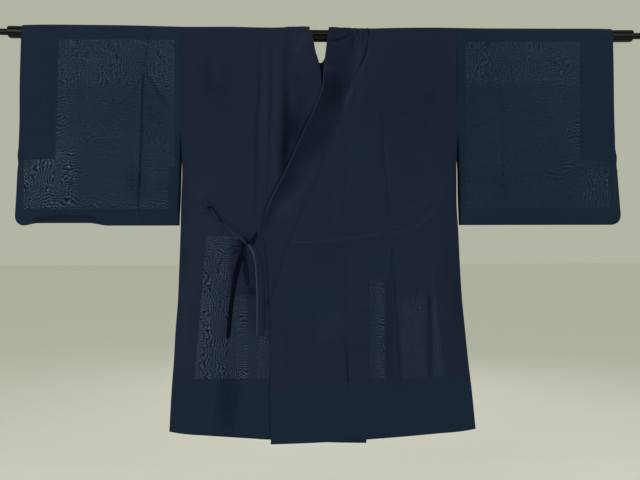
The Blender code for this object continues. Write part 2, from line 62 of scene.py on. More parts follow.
BAND = 0.0018
BAND_PROUD = 0.0006
TIE_CLOTH = 0.0012
TOUCH = 0.0003
SEWN_GAP = 0.00015
LAP = 0.0020
INSIDE = 0.0015
MILLIMETRE = 0.001
ROUND = 2 * math.pi

# Sign of s on the back, and drops
BACK = 1.0
SLEEVE_DROP = 0.430
ARMHOLE = 0.228
SIDE_OPENING_END = 0.318
CUFF_OPENING = 0.285
HEM_DROP = 0.8855
LINING_DROP = 0.445
LINING_FRONT_DROP = 0.092
OKUMI_TOP = 0.165
OKUMI_CLEAR = 0.003
BACK_NECK_EDGE = 0.056
BACK_NECK_SEAM = 0.130
NECK_LONG = QUARTER + BACK_NECK_SEAM - LAP
NECK_ROWS = [NECK_LONG * math.sin(math.radians(angle)) for angle in range(60, 91, 3)]

# Widths
OKUMI_SEAM = {"right": -0.0520, "left": 0.0515}
NECK = {"right": 0.083, "left": 0.111}
COLLAR_FREE = {"right": 0.0250, "left": 0.0180}
CUFF_FACING_EDGE = 0.584
LINING_INSET = 0.004
LINING_STEP_IN = 0.021
SLEEVE_CORNER = 0.022
SIGN = {"right": -1.0, "left": 1.0}

# How the front and the back come together
NARROWING = 0.15
SIDE_TAPER = 0.060
CUFF_TAPER = 0.050
CUFF_TAPER_RUN = 0.030
BOTTOM_TAPER = 0.068
LOOSE_EDGE_TAPER = 0.050
LOOSE_EDGE_AMOUNT = 0.70
LOOSE_EDGE_FROM = 0.205, 0.080
INNER_SAG = 0.0020
INNER_SAG_RUN = 0.050

# Where the left front lies over the right one it stands off: how far, from which drop and x
OVERLAP_LIFT = 0.0035
OVERLAP_FROM = 0.015, 0.085
OVERLAP_SIDE = 0.290, 0.140

# How the hem swings down towards the front corners and the centre back
SWING_START = 0.520
FRONT_CORNER_DIP = 0.0245
FRONT_DIP_BELLY = 0.22
BACK_CENTRE_DIP = 0.006
BACK_DIP_HALF = 0.330

# The right sleeve's lower edge curls up between two places across it
CURL_HEIGHT = 0.006
CURL_FROM = 0.380, 0.050
CURL_OUTER = -0.668, 0.040
CURL_INNER = -0.474, 0.045

# Grid spacing of the finished cloth: across it, down it, on the rod and where fine creases run across
ACROSS = 0.0025
DOWN = 0.0075
SLEEVE_DOWN = 0.0055
INNER_ACROSS = 0.005
BAND_DOWN = 0.003
BAND_COLUMNS = 24
BACK_STATIONS = 34
TURN = QUARTER / 6
FINE_DOWN = 0.0018
FINE_DROPS = 0.372, 0.478
NORMAL_STEP = 0.0015
SHARP = math.radians(50.0)

# Ripples: height or amount, cell across and down, seed
CREASE_UNEVEN = 0.20, 0.05, 0.06, 7
FRONT_RIPPLES = (0.00045, 0.045, 0.14, 11), (0.00025, 0.022, 0.060, 5)
BACK_RIPPLES = (0.00045, 0.050, 0.16, 23), (0.00025, 0.024, 0.055, 29)
BAND_RIPPLES = (0.0005, 0.025, 0.050, 17), (0.0002, 0.010, 0.022, 19)
LIGHT_UNEVEN = 0.10, 0.05, 0.07, 3
BANDS_UNEVEN = 0.25, 0.03, 0.04, 37
UPRIGHT_SWAY = 0.30, 0.040, 0.060, 31
RIPPLE_RUN = 0.08
SCATTER = 127.1, 311.7, 74.7, 43758.5453

# Shares of a fold's or a crease's length over which it fades
FOLD_FADE = 0.25
CREASE_START = 0.08
CREASE_END = 0.12

# The doubled hem; painted shadow on the right front beside the left collar; painted shade beside a
# sleeve's loose edge
HEM_FROM = 0.755, 0.03
OVERLAP_TONE, OVERLAP_REACH, OVERLAP_EDGE = 0.34, 0.0055, 0.001
OVERLAP_TONE_FROM, OVERLAP_TONE_TO = (0.13, 0.05), (0.43, 0.04)
SLIT_TONE, SLIT_REACH, SLIT_FROM = 0.80, 0.0030, (0.205, 0.06)

# The collar's crown, and its pleats and tugs over the shoulders
CROWN, CROWN_RUN, RELIEF_RUN = 0.0009, 0.004, 0.006
PLEAT_MIDDLE, PLEAT_REACH, PLEATS_OUT, RIGHT_PLEATS = -0.012, 0.032, (0.060, 0.012), 0.45
PLEAT, PLEAT_PITCH, PLEAT_START, PLEAT_LEAN = 0.0011, 0.0105, 0.0700, 0.15
TUG, TUG_PITCH, TUG_S, TUG_X = 0.0006, 0.015, 1.3, 0.45

# Tones of the left collar: painted highlight on its free edge, painted shade beside it, and its dark
# seam
EDGE_BRIGHT, BRIGHT_FROM, BRIGHT_TO = 1.15, (0.050, 0.02), (0.425, 0.05)
EDGE_LINE, EDGE_WIDER, WIDER_FROM = 0.0018, 0.0022, (0.31, 0.10)
EDGE_DARK, EDGE_DARKER, DARKER_FROM, DARK_TO = 0.14, 0.22, (0.04, 0.05), (0.46, 0.06)
DARK_REACH, DARK_FARTHER, FARTHER_TO = 0.018, 0.045, (0.38, 0.20)
SEAM_DARK, SEAM_REACH, SEAM_FROM, SEAM_TO = 0.28, 0.0022, (0.25, 0.05), (0.601, 0.02)


def rows_of(text):
    """Rows of numbers from lines of text."""
    return [[float(word) for word in line.split()] for line in text.strip().splitlines()]


def columns(names, text):
    """Named columns of the numbers in lines of text."""
    return dict(zip(names.split(), zip(*rows_of(text))))


# Body sides: drop, edge on the wearer's right, edge on the left
SIDE_EDGE = columns("drop right left", """
0 -.3105 .306
.228 -.3105 .3047
.318 -.3112 .3062
.396 -.3136 .3065
.437 -.3142 .3088
.529 -.3169 .3124
.601 -.3196 .3164
.662 -.3242 .3219
.729 -.3276 .328
.794 -.3322 .3352
.8855 -.337 .3436
""")

# Sleeve edges: drop, body-side edge and cuff edge of each sleeve
SLEEVE_EDGE = columns("drop right_inner right_cuff left_inner left_cuff", """
0 -.3109 -.664 .3064 .662
.107 -.3109 -.6656 .3058 .6618
.228 -.3109 -.6658 .3052 .662
.27 -.3125 -.6682 .308 .664
.286 -.313 -.6716 .3088 .6697
.3 -.3134 -.6756 .3093 .6738
.318 -.3138 -.6766 .3096 .6752
.36 -.3147 -.6782 .3099 .6778
.404 -.3165 -.6803 .3106 .6806
""")

# Front collars: drop, free edge and sewn edge of the band on each side
COLLAR_EDGE = columns("drop right_free right_sewn left_free left_sewn", """
0 -.019 -.083 .0156 .1085
.017 -.016 -.0815 .0134 .107
.04 -.012 -.078 .0107 .1045
.065 -.0045 -.073 .0076 .0945
.092 .0002 -.067 .0053 .0765
.119 .0035 -.0605 .003 .0655
.165 .011 -.052 -.013 .0515
.218 .037 -.035 -.038 .037
.265 .058 -.015 -.06 .0165
.318 .082 .0075 -.0845 -.006
.385 .11 .0355 -.118 -.0345
.437 .122 .056 -.132 -.057
.48 .115 .073 -.124 -.075
.54 .1085 .088 -.1175 -.0935
.601 .1045 .1025 -.1155 -.1135
""")

# Free front edges below the collar
FRONT_EDGE = columns("drop right left", """
.601 .103 -.114
.757 .1 -.113
.8855 .0975 -.112
""")

# How far the cloth stands off the top of the rod; the first column is x across the garment
TOP_LOOSE = columns("drop loose", """
-.67 .0036
-.63 .0046
-.54 .0048
-.407 .0038
-.306 .0018
-.205 .0024
-.103 .0012
-.047 .0034
.033 .002
.089 .0002
.181 .0022
.249 .003
.364 .0021
.548 .0025
.64 .0026
.67 .002
""")

# Broad folds, as the solids have them: ends (x, drop), half width, relief
FOLDS = {
    "front": """
-.143 .03 -.145 .45 .024 -.003
-.079 .06 -.075 .34 .014 -.0028
-.235 .12 -.25 .6 .03 .002
-.39 .06 -.405 .33 .03 .0035
.455 .05 .44 .33 .034 .0025
.19 .2 .205 .86 .03 .0025
.16 .48 .166 .8 .014 -.0022
.236 .48 .242 .8 .014 -.0022
""",
    "back": """
-.15 .16 -.17 .76 .036 .0035
.165 .2 .19 .8 .04 .003
-.42 .06 -.44 .33 .034 .003
.43 .07 .45 .33 .034 .003
.01 .26 .02 .82 .034 .0025
""",
}

# Creases by part and face, in millimetres: half width, relief, tone (painted shade, or painted highlight
# below 0; a few rows are dark seams and stitches), then the path's places, x and drop in turn
CREASES = {
    ("sleeve", "front"): """
2.4 .8 .34 -387.6 0 -384.1 21 -389.4 57 -392.3 84
2.6 -1.2 .5 -392.3 80 -395.5 140 -397 241 -400.8 330 -404.8 390 -406.6 412
4.5 1.4 -.16 -400 95 -403.5 150 -405.5 241 -409 330 -411.5 370
1.4 .6 -.4 -407.8 392 -408.8 430
4.5 1 -.14 -393.6 86 -413.2 125 -435.1 147 -450.4 161
3 -.9 .4 -389.2 88 -364.6 129 -346.8 158 -333.4 176
2.6 -.6 .24 -392 91 -414 131 -438 153 -452 167
3.5 .6 -.14 -383 88 -370 105 -356 130
5.5 -.8 .42 -640.2 424 -607.6 419 -575 415 -542.3 415 -509.6 417 -487.7 422
6 0 .07 -593 20 -596 150 -598.5 270
3.5 -.6 .1 401 60 406 200 410 390
3.5 0 .16 591 30 589 160 588 275
9 .8 0 505 60 512 330
""",
    ("sleeve", "back"): """
4.5 1.2 .22 -455 50 -464 200 -470 390
8 1 0 -540 100 -530 300
3.5 1.2 .26 395 40 401 210 408 400
8 1 0 520 80 536 330
""",
    ("body_right", "front"): """
3.4 -1 .27 -135.1 0 -137.3 94 -144.4 218 -145 319 -148 430
6 1 -.15 -123.9 40 -126.1 162 -131.7 207 -132.3 390
3.2 -.7 .2 -111.6 25 -112.8 162 -115 240 -120.6 352 -127 400
6.5 1.4 -.2 -98.9 40 -100 200 -102.8 360
5.5 -2 .2 -79 15 -80 130 -80.6 240 -84 320
8 .6 -.1 -51.4 95 -53.8 200
8.5 -1 .11 -256 45 -254 80 -249.5 140
7 .6 -.1 -233 70 -227 120
10 .4 -.07 -285 60 -280 135
5 .8 -.13 -306 300 -290 333 -260 372
4 .4 -.12 -269 348 -230 352
10 .8 0 -205 60 -215 360
9 .9 .04 -275 250 -286 700
12 -.6 .14 -305 480 -312 560
12 .6 -.08 -300 605 -306 700
4 -.6 .18 -181 764 -189 812 -199 880
6 -.5 .12 -162 566 -149 579 -132 593 -113 602
1.6 .3 .2 -264 769.5 -108 769.5
7 .5 -.08 -238 780 -242 850
1.3 0 .38 -269 377 -250 381
1.2 0 -.25 -269 390 -254 392
1.2 0 -.3 -269 397 -254 399
1.2 0 .32 -266 404 -250 407
4 0 .16 -225 412 -210 433
""",
    ("body_left", "front"): """
3.4 -.6 .12 127.8 70 129.2 90 131.6 162 135.7 230 141.8 319 151 436
3.4 .8 -.16 144 235 147.5 308 156 360
6.5 1 -.18 192.6 392 230.7 381 286 356
10 .8 -.12 256 166 270 140 298 118
6 .6 -.12 215 281 252 285
6 .5 -.08 248 180 247 235
6 -.5 .1 245 375 230 398
4 1.2 -.45 72.5 122 64 140 50 167
5 .6 -.18 84 128 82 164
3 1 -.6 37.2 206 35.2 234
1.6 .4 -.5 108.5 36 101 62 87 94
2.4 1 -.4 -81 467 -30 468 20 466 42 460 86 456 145 450
2.6 1 -.36 152 449 190 441 205 437 222 427 250 402 264 382
1.6 -.4 .34 150 446 166 443 184 441
1.6 .3 .14 104 769.5 286 769.5
3.2 -.5 .12 25 475 90 466 150 459
9 -1.2 .15 145 540 147 680 150 772
2.4 -.6 .3 154.5 470 156 516 165.5 623 168.6 701 174 780
4.5 .7 -.16 167 480 170 600 181 757
4.4 -1.2 .28 238.5 580 240 772
2.8 1 -.32 246 515 249.9 601 256.8 701 261.2 768
5.5 .6 -.16 223 560 214.4 645 205.5 712
1.6 0 .06 51.5 170 51.5 480 53 700 56 870
1.4 -.4 1 54.6 700 57.2 770
1 0 -.35 52 712 54.6 770
6 .4 -.12 54 604 80 612
8 .7 .03 -25 560 -18 880
7 -.6 .04 -75 620 -72 860
7 .5 -.08 30 350 36 440
""",
    ("collar_left", "front"): """
2 -.8 .5 14 19 37.2 15 56 7 72 0
2.4 .5 -.12 20 25 40 22 64 11
1.4 -.6 .45 72.2 -10 72.7 40
2.2 .6 -.18 77 -10 76.8 34
1.7 -.6 .42 82.5 -10 82 20
2.5 .6 -.18 89 -10 87.5 36
1.9 -.7 .45 96.2 -10 93.4 27
1.9 -1 .8 107.4 -10 106.6 12 103 34 91.8 66 70.4 106
1.6 .6 -.55 87.4 63 80 78 69.3 98
3 .6 -.35 69 122 56 148 50 167
2.6 .6 -.5 36.6 208 35.2 232
8 1 -.17 -101.7 412 -40.4 352 -9.4 300
6 -.4 .12 -90.5 352 -72 322 -50 280
""",
    ("collar_right", "front"): """
5 1.2 -.22 -34.4 4 -46 26 -60.2 46
6 -.6 .2 -26.2 20 -23 50
4 -.6 .14 -76.5 -10 -76.5 40
5 .6 -.1 -50 70 -35 110
""",
    ("tie", "front"): """
2.1 -.8 .75 -252 390 -240 391 -229 407 -218.2 428
2.2 -.4 .55 -249 388 -245 402
1.4 .4 -.35 -244 398 -235 411 -226 424
4.5 .2 -.42 -221 431 -207 441 -192 452 -180 462
2 .5 -.9 -205 446 -199 453 -186 458 -174 466 -163.2 478
3 .5 -.95 -164 471 -157 480 -152 489 -148.5 501
""",
    ("body_right", "back"): """
6 1.2 .18 -100 180 -112 560
4 -1 .24 -165 60 -170 420
7 1 -.12 -215 100 -225 480
7 1 .1 -260 420 -272 820
""",
    ("body_left", "back"): """
6 1.2 .18 90 200 98 620
4 -1 .22 158 80 162 440
7 1 -.12 210 80 202 460
7 1 .1 255 450 268 830
""",
}

# Broad soft painted shades on the front, painted light where the tone is below 0; in millimetres: x and
# drop of the middle, half width, half height, lean (sideways for each step down), tone
SHADES = {
    "body_right": """
-230 170 120 190 0 .1
-60 208 27 42 0 .4
-77 165 9 34 0 .26
-79 264 14 48 -.05 .46
-88 305 8 26 0 .14
-165 540 36 80 -.1 .25
-202 650 20 150 -.08 .16
-205 800 22 80 -.1 .22
-295 560 24 130 -.1 -.14
-226 110 30 60 0 .08
-40 130 45 110 .2 .1
-262 345 40 60 0 -.08
-215 225 60 40 0 -.06
-250 430 30 20 0 -.1
-140 810 40 60 0 -.06
-183 481 9 17 -.3 .34
-180 566 11 36 -.2 -.2
-153 577 10 8 .5 .3
-118 601 12 8 .5 .16
""",
    "body_left": """
215 140 150 190 0 .18
300 560 26 150 .1 .13
250 330 60 50 0 -.06
28 640 40 28 0 -.14
40 800 90 60 0 -.06
90 250 40 30 0 -.06
-20 500 60 40 0 .08
130 470 40 30 0 -.06
95 602 28 11 0 -.1
10 672 28 11 0 -.13
""",
    "collar_right": """
-62 190 24 52 .1 .4
-44 238 12 40 -.3 .3
-42 15 24 20 0 -.14
-46 62 16 26 0 -.1
-27 108 10 14 .2 -.03
-35 110 45 60 .15 .12
""",
    "collar_left": """
31 130 28 46 -.2 .2
36 148 18 36 -.2 .08
4 240 18 32 -.5 .16
-72 343 15 26 -.7 .22
-70 396 22 18 -.5 -.2
16 82 20 9 0 -.18
85 48 7 24 -.2 -.28
4 78 9 14 0 -.28
60 30 40 40 0 .1
""",
    "sleeve": """
-430 150 80 120 0 .12
-395 105 24 50 0 .1
-355 340 40 90 0 .06
-620 150 60 130 0 .04
350 130 60 150 0 .14
440 110 60 60 0 .06
640 190 34 130 0 .04
560 150 60 40 0 -.1
400 330 60 60 0 .08
-410 332 22 38 0 .24
-368 195 26 34 0 .14
""",
}

# Painted light, where light would get through just two layers: x range, drop range, soft edge, how
# much light, how strong its bands are, and how upright they run (0 level, 1 upright). Rows add up.
LIGHT = {
    "sleeve": """
-.7 -.3 -.02 .44 .01 .09 .07 .45
-.6 -.3 -.02 .12 .03 .062 .17 .2
-.7 -.545 .27 .44 .03 .08 .5 .25
-.6 -.55 .13 .29 .03 .035 .12 -.25
-.66 -.33 .372 .44 .012 .01 .07 -.3
-.385 -.33 .28 .38 .01 0 0 -.45
.3 .7 -.02 .44 .01 .046 .06 .45
.3 .6 -.02 .115 .03 .064 .13 .15
.54 .6 .19 .3 .03 .01 .14 -.15
.585 .7 .31 .44 .025 .03 .2 .2
""",
    "body_right": """
-.3 -.204 .43 .78 .01 .145 .3 .5
-.204 -.165 .585 .78 .008 .15 .26 .5
-.3 -.165 .43 .6 .02 0 .12 0
-.3 -.165 .6 .78 .04 .005 .05 .2
-.166 -.1 .655 .78 .006 .07 .04 .5
-.142 -.1 .66 .78 .006 .03 .2 0
-.3 -.242 .58 .78 .012 .045 .06 0
-.242 -.205 .58 .69 .012 -.035 -.12 .4
-.196 -.165 .57 .69 .01 -.02 -.14 .2
-.183 -.162 .61 .78 .004 0 .16 -.6
-.3 -.258 .58 .73 .012 .032 .08 -.4
""",
    "body_left": """
.1 .141 .55 .78 .01 .05 .14 .5
.12 .138 .56 .78 .005 .05 .2 -.2
.174 .238 .59 .78 .02 .062 .1 .5
.244 .28 .6 .78 .01 .08 .1 .5
""",
}

# Ties: cut size; tone (painted shade, or painted highlight where below 0) of the middle, of the edge
# that comes first and of the one that comes second; path as x, drop and half width
TIES = {
    "tie_right": ((0.017, 0.105), (0.04, 0.0, -0.1), """
-.26 .379 .008
-.24 .398 .0065
-.218 .421 .0065
-.199 .44 .0075
-.1858 .4535 .006
-.179 .4595 .005
"""),
    "tie_left": ((0.01, 0.036), (0.66, 0.15, 0.1), """
-.167 .4722 .0044
-.1594 .4708 .0052
-.1532 .467 .0054
-.1492 .4615 .0044
-.1459 .4545 .0028
-.1433 .446 .0008
"""),
    "tie_tail_right": ((0.01, 0.204), (0.74, 0.1, 0.0), """
-.1705 .47 .0038
-.1738 .49 .0052
-.1822 .5144 .0056
-.1892 .5413 .005
-.1932 .5636 .0044
-.1966 .586 .004
-.1996 .6083 .0042
-.2018 .6307 .0044
-.2041 .6531 .0044
-.2062 .6754 .0036
"""),
    "tie_tail_left": ((0.015, 0.2), (0.05, 0.0, -3.4), """
-.165 .468 .004
-.158 .4735 .005
-.15 .4845 .006
-.142 .505 .0068
-.1376 .54 .0078
-.135 .58 .0084
-.135 .625 .0084
-.135 .668 .0084
"""),
    "tie_loop": ((0.01, 0.091), (0.5, 0.05, 0.25), """
-.1715 .472 .0034
-.1692 .4988 .0034
-.1664 .5301 .0044
-.1642 .55 .004
-.163 .562 .0022
"""),
}
# How wide the painted edge lines of the ties are, and the ties' grid
TIE_LINE = 0.0018
TIE_STEP = 0.002
TIE_COLUMNS = 17

# The soft fold along a tie: height, how steep its sides are, how far it sways and how often
TIE_FOLD, TIE_FOLD_POWER, TIE_SWAY, TIE_SWAY_LONG, TIE_FOLD_RUN = 0.0012, 1.5, 0.35, 0.035, 0.01

# Lobes of the knot in halves of its box: place, size, turn in degrees
KNOT_LOBES = (
    ((0.0, 0.0, 0.0), (0.72, 0.80, 0.72), 0.0),
    ((-0.30, -0.15, 0.25), (0.62, 0.55, 0.42), -38.0),
    ((0.28, -0.10, 0.20), (0.62, 0.55, 0.40), 42.0),
    ((0.02, -0.35, -0.05), (0.36, 0.62, 0.86), 28.0),
    ((-0.22, 0.05, -0.45), (0.38, 0.60, 0.46), 10.0),
    ((0.25, 0.05, -0.42), (0.40, 0.60, 0.46), -14.0),
)
KNOT_RINGS, KNOT_SEGMENTS = 12, 20
KNOT_VOXEL, KNOT_SMOOTHINGS = 0.0007, 3
# Knot tones: darker all over, with a painted highlight on its band
KNOT_TONE, KNOT_BAND_TONE, KNOT_BAND_HALF = 0.55, -1.40, 0.0030

# How far the rod's axis stands above its middle at each end, and its grid
ROD_RISE = {"right": 0.0056, "left": 0.0038}
ROD_LONGER = 0.0025
ROD_HALF = 0.7035
ROD_SEGMENTS, ROD_ARCS, ROD_STEP = 64, 6, 0.03


# Plain maths on arrays

def smooth(value):
    """0 below 0, 1 above 1, and an even S between."""
    value = np.clip(value, 0.0, 1.0)
    return value * value * (3.0 - 2.0 * value)


def rise(value, start, run):
    """0 up to start, and 1 from a run after it."""
    return smooth((value - start) / run)


def fall(value, end, run):
    """1 until a run before end, and 0 from end on."""
    return smooth((end - value) / run)


def bell(value):
    """1 at 0, and next to nothing beyond 2 on either side."""
    return np.exp(-value ** 2)


def read(table, column, drop):
    """One column of a table at given drops, along a smooth curve through its rows."""
    at, values = np.array(table["drop"]), np.array(table[column])
    slopes = np.gradient(values, at)
    drop = np.clip(np.asarray(drop, float), at[0], at[-1])
    row = np.clip(np.searchsorted(at, drop, side="right") - 1, 0, len(at) - 2)
    span = at[row + 1] - at[row]
    t = (drop - at[row]) / span
    return ((2 * t ** 3 - 3 * t ** 2 + 1) * values[row] + (t ** 3 - 2 * t ** 2 + t) * span * slopes[row]
            + (3 * t ** 2 - 2 * t ** 3) * values[row + 1] + (t ** 3 - t ** 2) * span * slopes[row + 1])


def ripple(x, y, cell_x, cell_y, seed):
    """Smooth uneven height from -1 to 1, with bumps about one cell apart."""
    across, down = np.asarray(x) / cell_x, np.asarray(y) / cell_y
    left, top = np.floor(across).astype(int), np.floor(down).astype(int)
    fx, fy = smooth(across - left), smooth(down - top)

    def corner(i, j):
        value = np.sin(i * SCATTER[0] + j * SCATTER[1] + seed * SCATTER[2]) * SCATTER[3]
        return 2.0 * (value - np.floor(value)) - 1.0

    upper, lower = (corner(left, j) * (1 - fx) + corner(left + 1, j) * fx for j in (top, top + 1))
    return upper * (1 - fy) + lower * fy


def ripples(x, y, *rows):
    """Ripples added up, each with its height, cell and seed."""
    return sum(height * ripple(x, y, *rest) for height, *rest in rows)


def uneven(x, y, amount, *rest):
    """A factor that wavers between 1 and 1 less twice the amount."""
    return 1.0 - amount + ripples(x, y, (amount, *rest))


# The hanging cloth

def drop_of(s):
    """The drop of a place on the cloth, 0 on the rod."""
    return np.maximum(np.abs(s) - QUARTER, 0.0)


def s_of(drop, face=-BACK):
    """The place along the cloth at a drop, on the front unless told."""
    return (QUARTER + drop) * face


def taper(distance, width, amount):
    """Share of the depth left at a distance from a seam that joins front and back."""
    near = 1.0 - np.clip(distance / width, 0.0, 1.0)
    return 1.0 - amount * near * near


def path_distance(x, drop, path):
    """Distance from a path of places, and the share of the way along it."""
    lengths = [math.dist(start, end) for start, end in zip(path, path[1:])]
    nearest, share, passed = np.inf, 0.0, 0.0
    for (x0, drop0), (x1, drop1), length in zip(path, path[1:], lengths):
        run, down = x1 - x0, drop1 - drop0
        along = np.clip(((x - x0) * run + (drop - drop0) * down) / length ** 2, 0.0, 1.0)
        away = np.hypot(x - x0 - run * along, drop - drop0 - down * along)
        share = np.where(away < nearest, (passed + along * length) / sum(lengths), share)
        nearest = np.minimum(away, nearest)
        passed += length
    return nearest, share


def fold_relief(x, drop, front):
    """Height of the broad folds."""
    relief = np.zeros_like(x)
    for face, text in FOLDS.items():
        for x0, drop0, x1, drop1, width, height in rows_of(text):
            along = (drop - drop0) / (drop1 - drop0)
            fade = smooth(along / FOLD_FADE) * smooth((1.0 - along) / FOLD_FADE)
            beside = bell((x - (x0 + (x1 - x0) * along)) / width)
            relief += np.where(front == (face == "front"), height * fade, 0.0) * beside
    return relief


def crease_field(x, drop, front, part):
    """Height of the creases of one part, and the shade and highlight painted along them."""
    relief, tone = np.zeros_like(x), np.zeros_like(x)
    wavering = uneven(x, drop, *CREASE_UNEVEN)
    for face in ("front", "back"):
        for width, height, dark, *path in rows_of(CREASES.get((part, face), "")):
            path = [(a * MILLIMETRE, b * MILLIMETRE) for a, b in zip(path[::2], path[1::2])]
            away, along = path_distance(x, drop, path)
            here = (front == (face == "front")) * smooth(along / CREASE_START)
            here = here * smooth((1.0 - along) / CREASE_END) * wavering
            here = here * bell(away / (width * MILLIMETRE))
            relief += here * height * MILLIMETRE
            tone += here * dark
    return relief, tone


def shade_field(x, drop, part):
    """Painted shade, and painted light where the tone is below 0, in broad soft spots on one part's
    front.
    """
    tone = np.zeros_like(x)
    for x0, drop0, half, height, lean, dark in rows_of(SHADES.get(part, "")):
        down = drop / MILLIMETRE - drop0
        tone += dark * bell((x / MILLIMETRE - x0 - lean * down) / half) * bell(down / height)
    return tone


def body_share(x, drop):
    """Share of the body's depth at a place, down to 0 at the sewn side seams."""
    inside = np.minimum(x - read(SIDE_EDGE, "right", drop), read(SIDE_EDGE, "left", drop) - x)
    return taper(inside, SIDE_TAPER, rise(drop, ARMHOLE, SIDE_OPENING_END - ARMHOLE))


def sleeve_edge(x, drop, edge):
    """How far out a sleeve's edge is on the side of each x."""
    right, left = (read(SLEEVE_EDGE, side + edge, drop) for side in ("right_", "left_"))
    return np.where(x < 0.0, -right, left)


def sleeve_share(x, drop):
    """Share of a sleeve's depth: 0 at the bottom and below the cuff opening, less at the loose edge."""
    sewn = smooth((drop - CUFF_OPENING) / CUFF_TAPER_RUN + 0.5)
    loose = LOOSE_EDGE_AMOUNT * rise(drop, *LOOSE_EDGE_FROM)
    share = taper(sleeve_edge(x, drop, "cuff") - np.abs(x), CUFF_TAPER, sewn)
    share = share * taper(np.abs(x) - sleeve_edge(x, drop, "inner"), LOOSE_EDGE_TAPER, loose)
    return share * taper(SLEEVE_DROP - drop, BOTTOM_TAPER, 1.0)


def lower_by(x, drop, front, part):
    """How much lower the cloth hangs: swing of the hem, and curl of the right sleeve's edge."""
    if part == "sleeve":
        return -rise(drop, *CURL_FROM) * CURL_HEIGHT * rise(x, *CURL_OUTER) * fall(x, *CURL_INNER)
    side = part.removeprefix("body_")
    if side == part:
        return 0.0
    outer, inner = read(SIDE_EDGE, side, drop), read(FRONT_EDGE, side, drop)
    towards = np.clip((outer - x) / (outer - inner), 0.0, 1.0)
    ahead = FRONT_CORNER_DIP * towards * (1.0 + FRONT_DIP_BELLY * np.sin(math.pi * towards))
    behind = BACK_CENTRE_DIP * smooth(1.0 - np.abs(x) / BACK_DIP_HALF)
    return rise(drop, SWING_START, HEM_DROP - SWING_START) * np.where(front, ahead, behind)


def drape(x, s, part, out=0.0):
    """Points in space of places on the cloth, moved out from its outer face by out."""
    x, s = np.broadcast_arrays(np.asarray(x, float), np.asarray(s, float))
    front, drop = s < 0.0, drop_of(s)
    inner = part in ("lining", "facing")
    share = sleeve_share(x, drop) if part in ("sleeve", "facing") else body_share(x, drop)
    least = CLOTH + TOUCH / 2
    folds = 0.0
    if not inner:
        small = np.where(front, ripples(x, drop, *FRONT_RIPPLES), ripples(x, drop, *BACK_RIPPLES))
        folds = fold_relief(x, drop, front) + crease_field(x, drop, front, part)[0]
        folds = folds + smooth(drop / RIPPLE_RUN) * small
    hang = OUTER_RADIUS * (1.0 - NARROWING * smooth(drop / HEM_DROP))
    depth = least + (hang + folds - least) * share
    if inner:
        depth = depth - INNER_SAG * smooth(drop / INNER_SAG_RUN)
    if part == "body_left":
        depth = depth + front * OVERLAP_LIFT * rise(drop, *OVERLAP_FROM) * fall(x, *OVERLAP_SIDE)
    angle = np.clip(s, -QUARTER, QUARTER) / OUTER_RADIUS
    on_rod = np.abs(s) <= QUARTER
    radius = OUTER_RADIUS + out + read(TOP_LOOSE, "loose", x) * np.cos(angle)
    y = np.where(on_rod, radius * np.sin(angle), np.sign(s) * (depth + out))
    z = np.where(on_rod, radius * np.cos(angle), -(drop + lower_by(x, drop, front, part)))
    return np.stack((x, y, z), axis=-1)


def outward(x, s, part):
    """Unit normals of the cloth, pointing away from the hollow."""
    across = drape(x + NORMAL_STEP, s, part) - drape(x - NORMAL_STEP, s, part)
    along = drape(x, s + NORMAL_STEP, part) - drape(x, s - NORMAL_STEP, part)
    normal = np.cross(across, along)
    return normal / np.linalg.norm(normal, axis=-1, keepdims=True)


# Meshes

def linked(name, data):
    """A new object in the scene."""
    made = bpy.data.objects.new(name, data)
    bpy.context.scene.collection.objects.link(made)
    return made


def new_object(name, vertices, faces, finish):
    """A smooth mesh object that rides on the root body."""
    mesh = bpy.data.meshes.new(name)
    mesh.from_pydata([tuple(v) for v in vertices], [], faces)
    mesh.update()
    mesh.shade_smooth()
    mesh.set_sharp_from_angle(angle=SHARP)
    mesh.materials.append(finish)
    made = linked(name, mesh)
    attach(made, "root")
    return made


def add_field(made, title, values):
    """Gives each point of a mesh a number that its finish reads."""
    layer = made.data.attributes.new(title, "FLOAT", "POINT")
    layer.data.foreach_set("value", values.astype(np.float32))


def shell(name, outer, inner, finish, **fields):
    """A closed thin shell from two grids of points of the same shape, with named point fields."""
    index = np.arange(outer.shape[0] * outer.shape[1]).reshape(outer.shape[:2])
    total = index.size
    a, b, c, d = index[:-1, :-1], index[:-1, 1:], index[1:, 1:], index[1:, :-1]
    front = np.stack((a, b, c, d), -1).reshape(-1, 4)
    back = np.stack((a, d, c, b), -1).reshape(-1, 4) + total
    ring = np.concatenate((index[0, :], index[1:, -1], index[-1, -2::-1], index[-2:0:-1, 0]))
    after = np.roll(ring, -1)
    rim = np.stack((after, ring, ring + total, after + total), -1)
    vertices = np.concatenate((outer.reshape(-1, 3), inner.reshape(-1, 3)))
    made = new_object(name, vertices, np.concatenate((front, back, rim)).tolist(), finish)
    for title, values in fields.items():
        add_field(made, title, np.concatenate((values.ravel(), values.ravel())))
    return made


def ring_faces(bands, segments, start=0):
    """Faces of the bands between closed rings of points."""
    faces = []
    for first in range(start, start + bands * segments, segments):
        for segment in range(segments):
            a, b = first + segment, first + (segment + 1) % segments
            faces.append((a, a + segments, b + segments, b))
    return faces


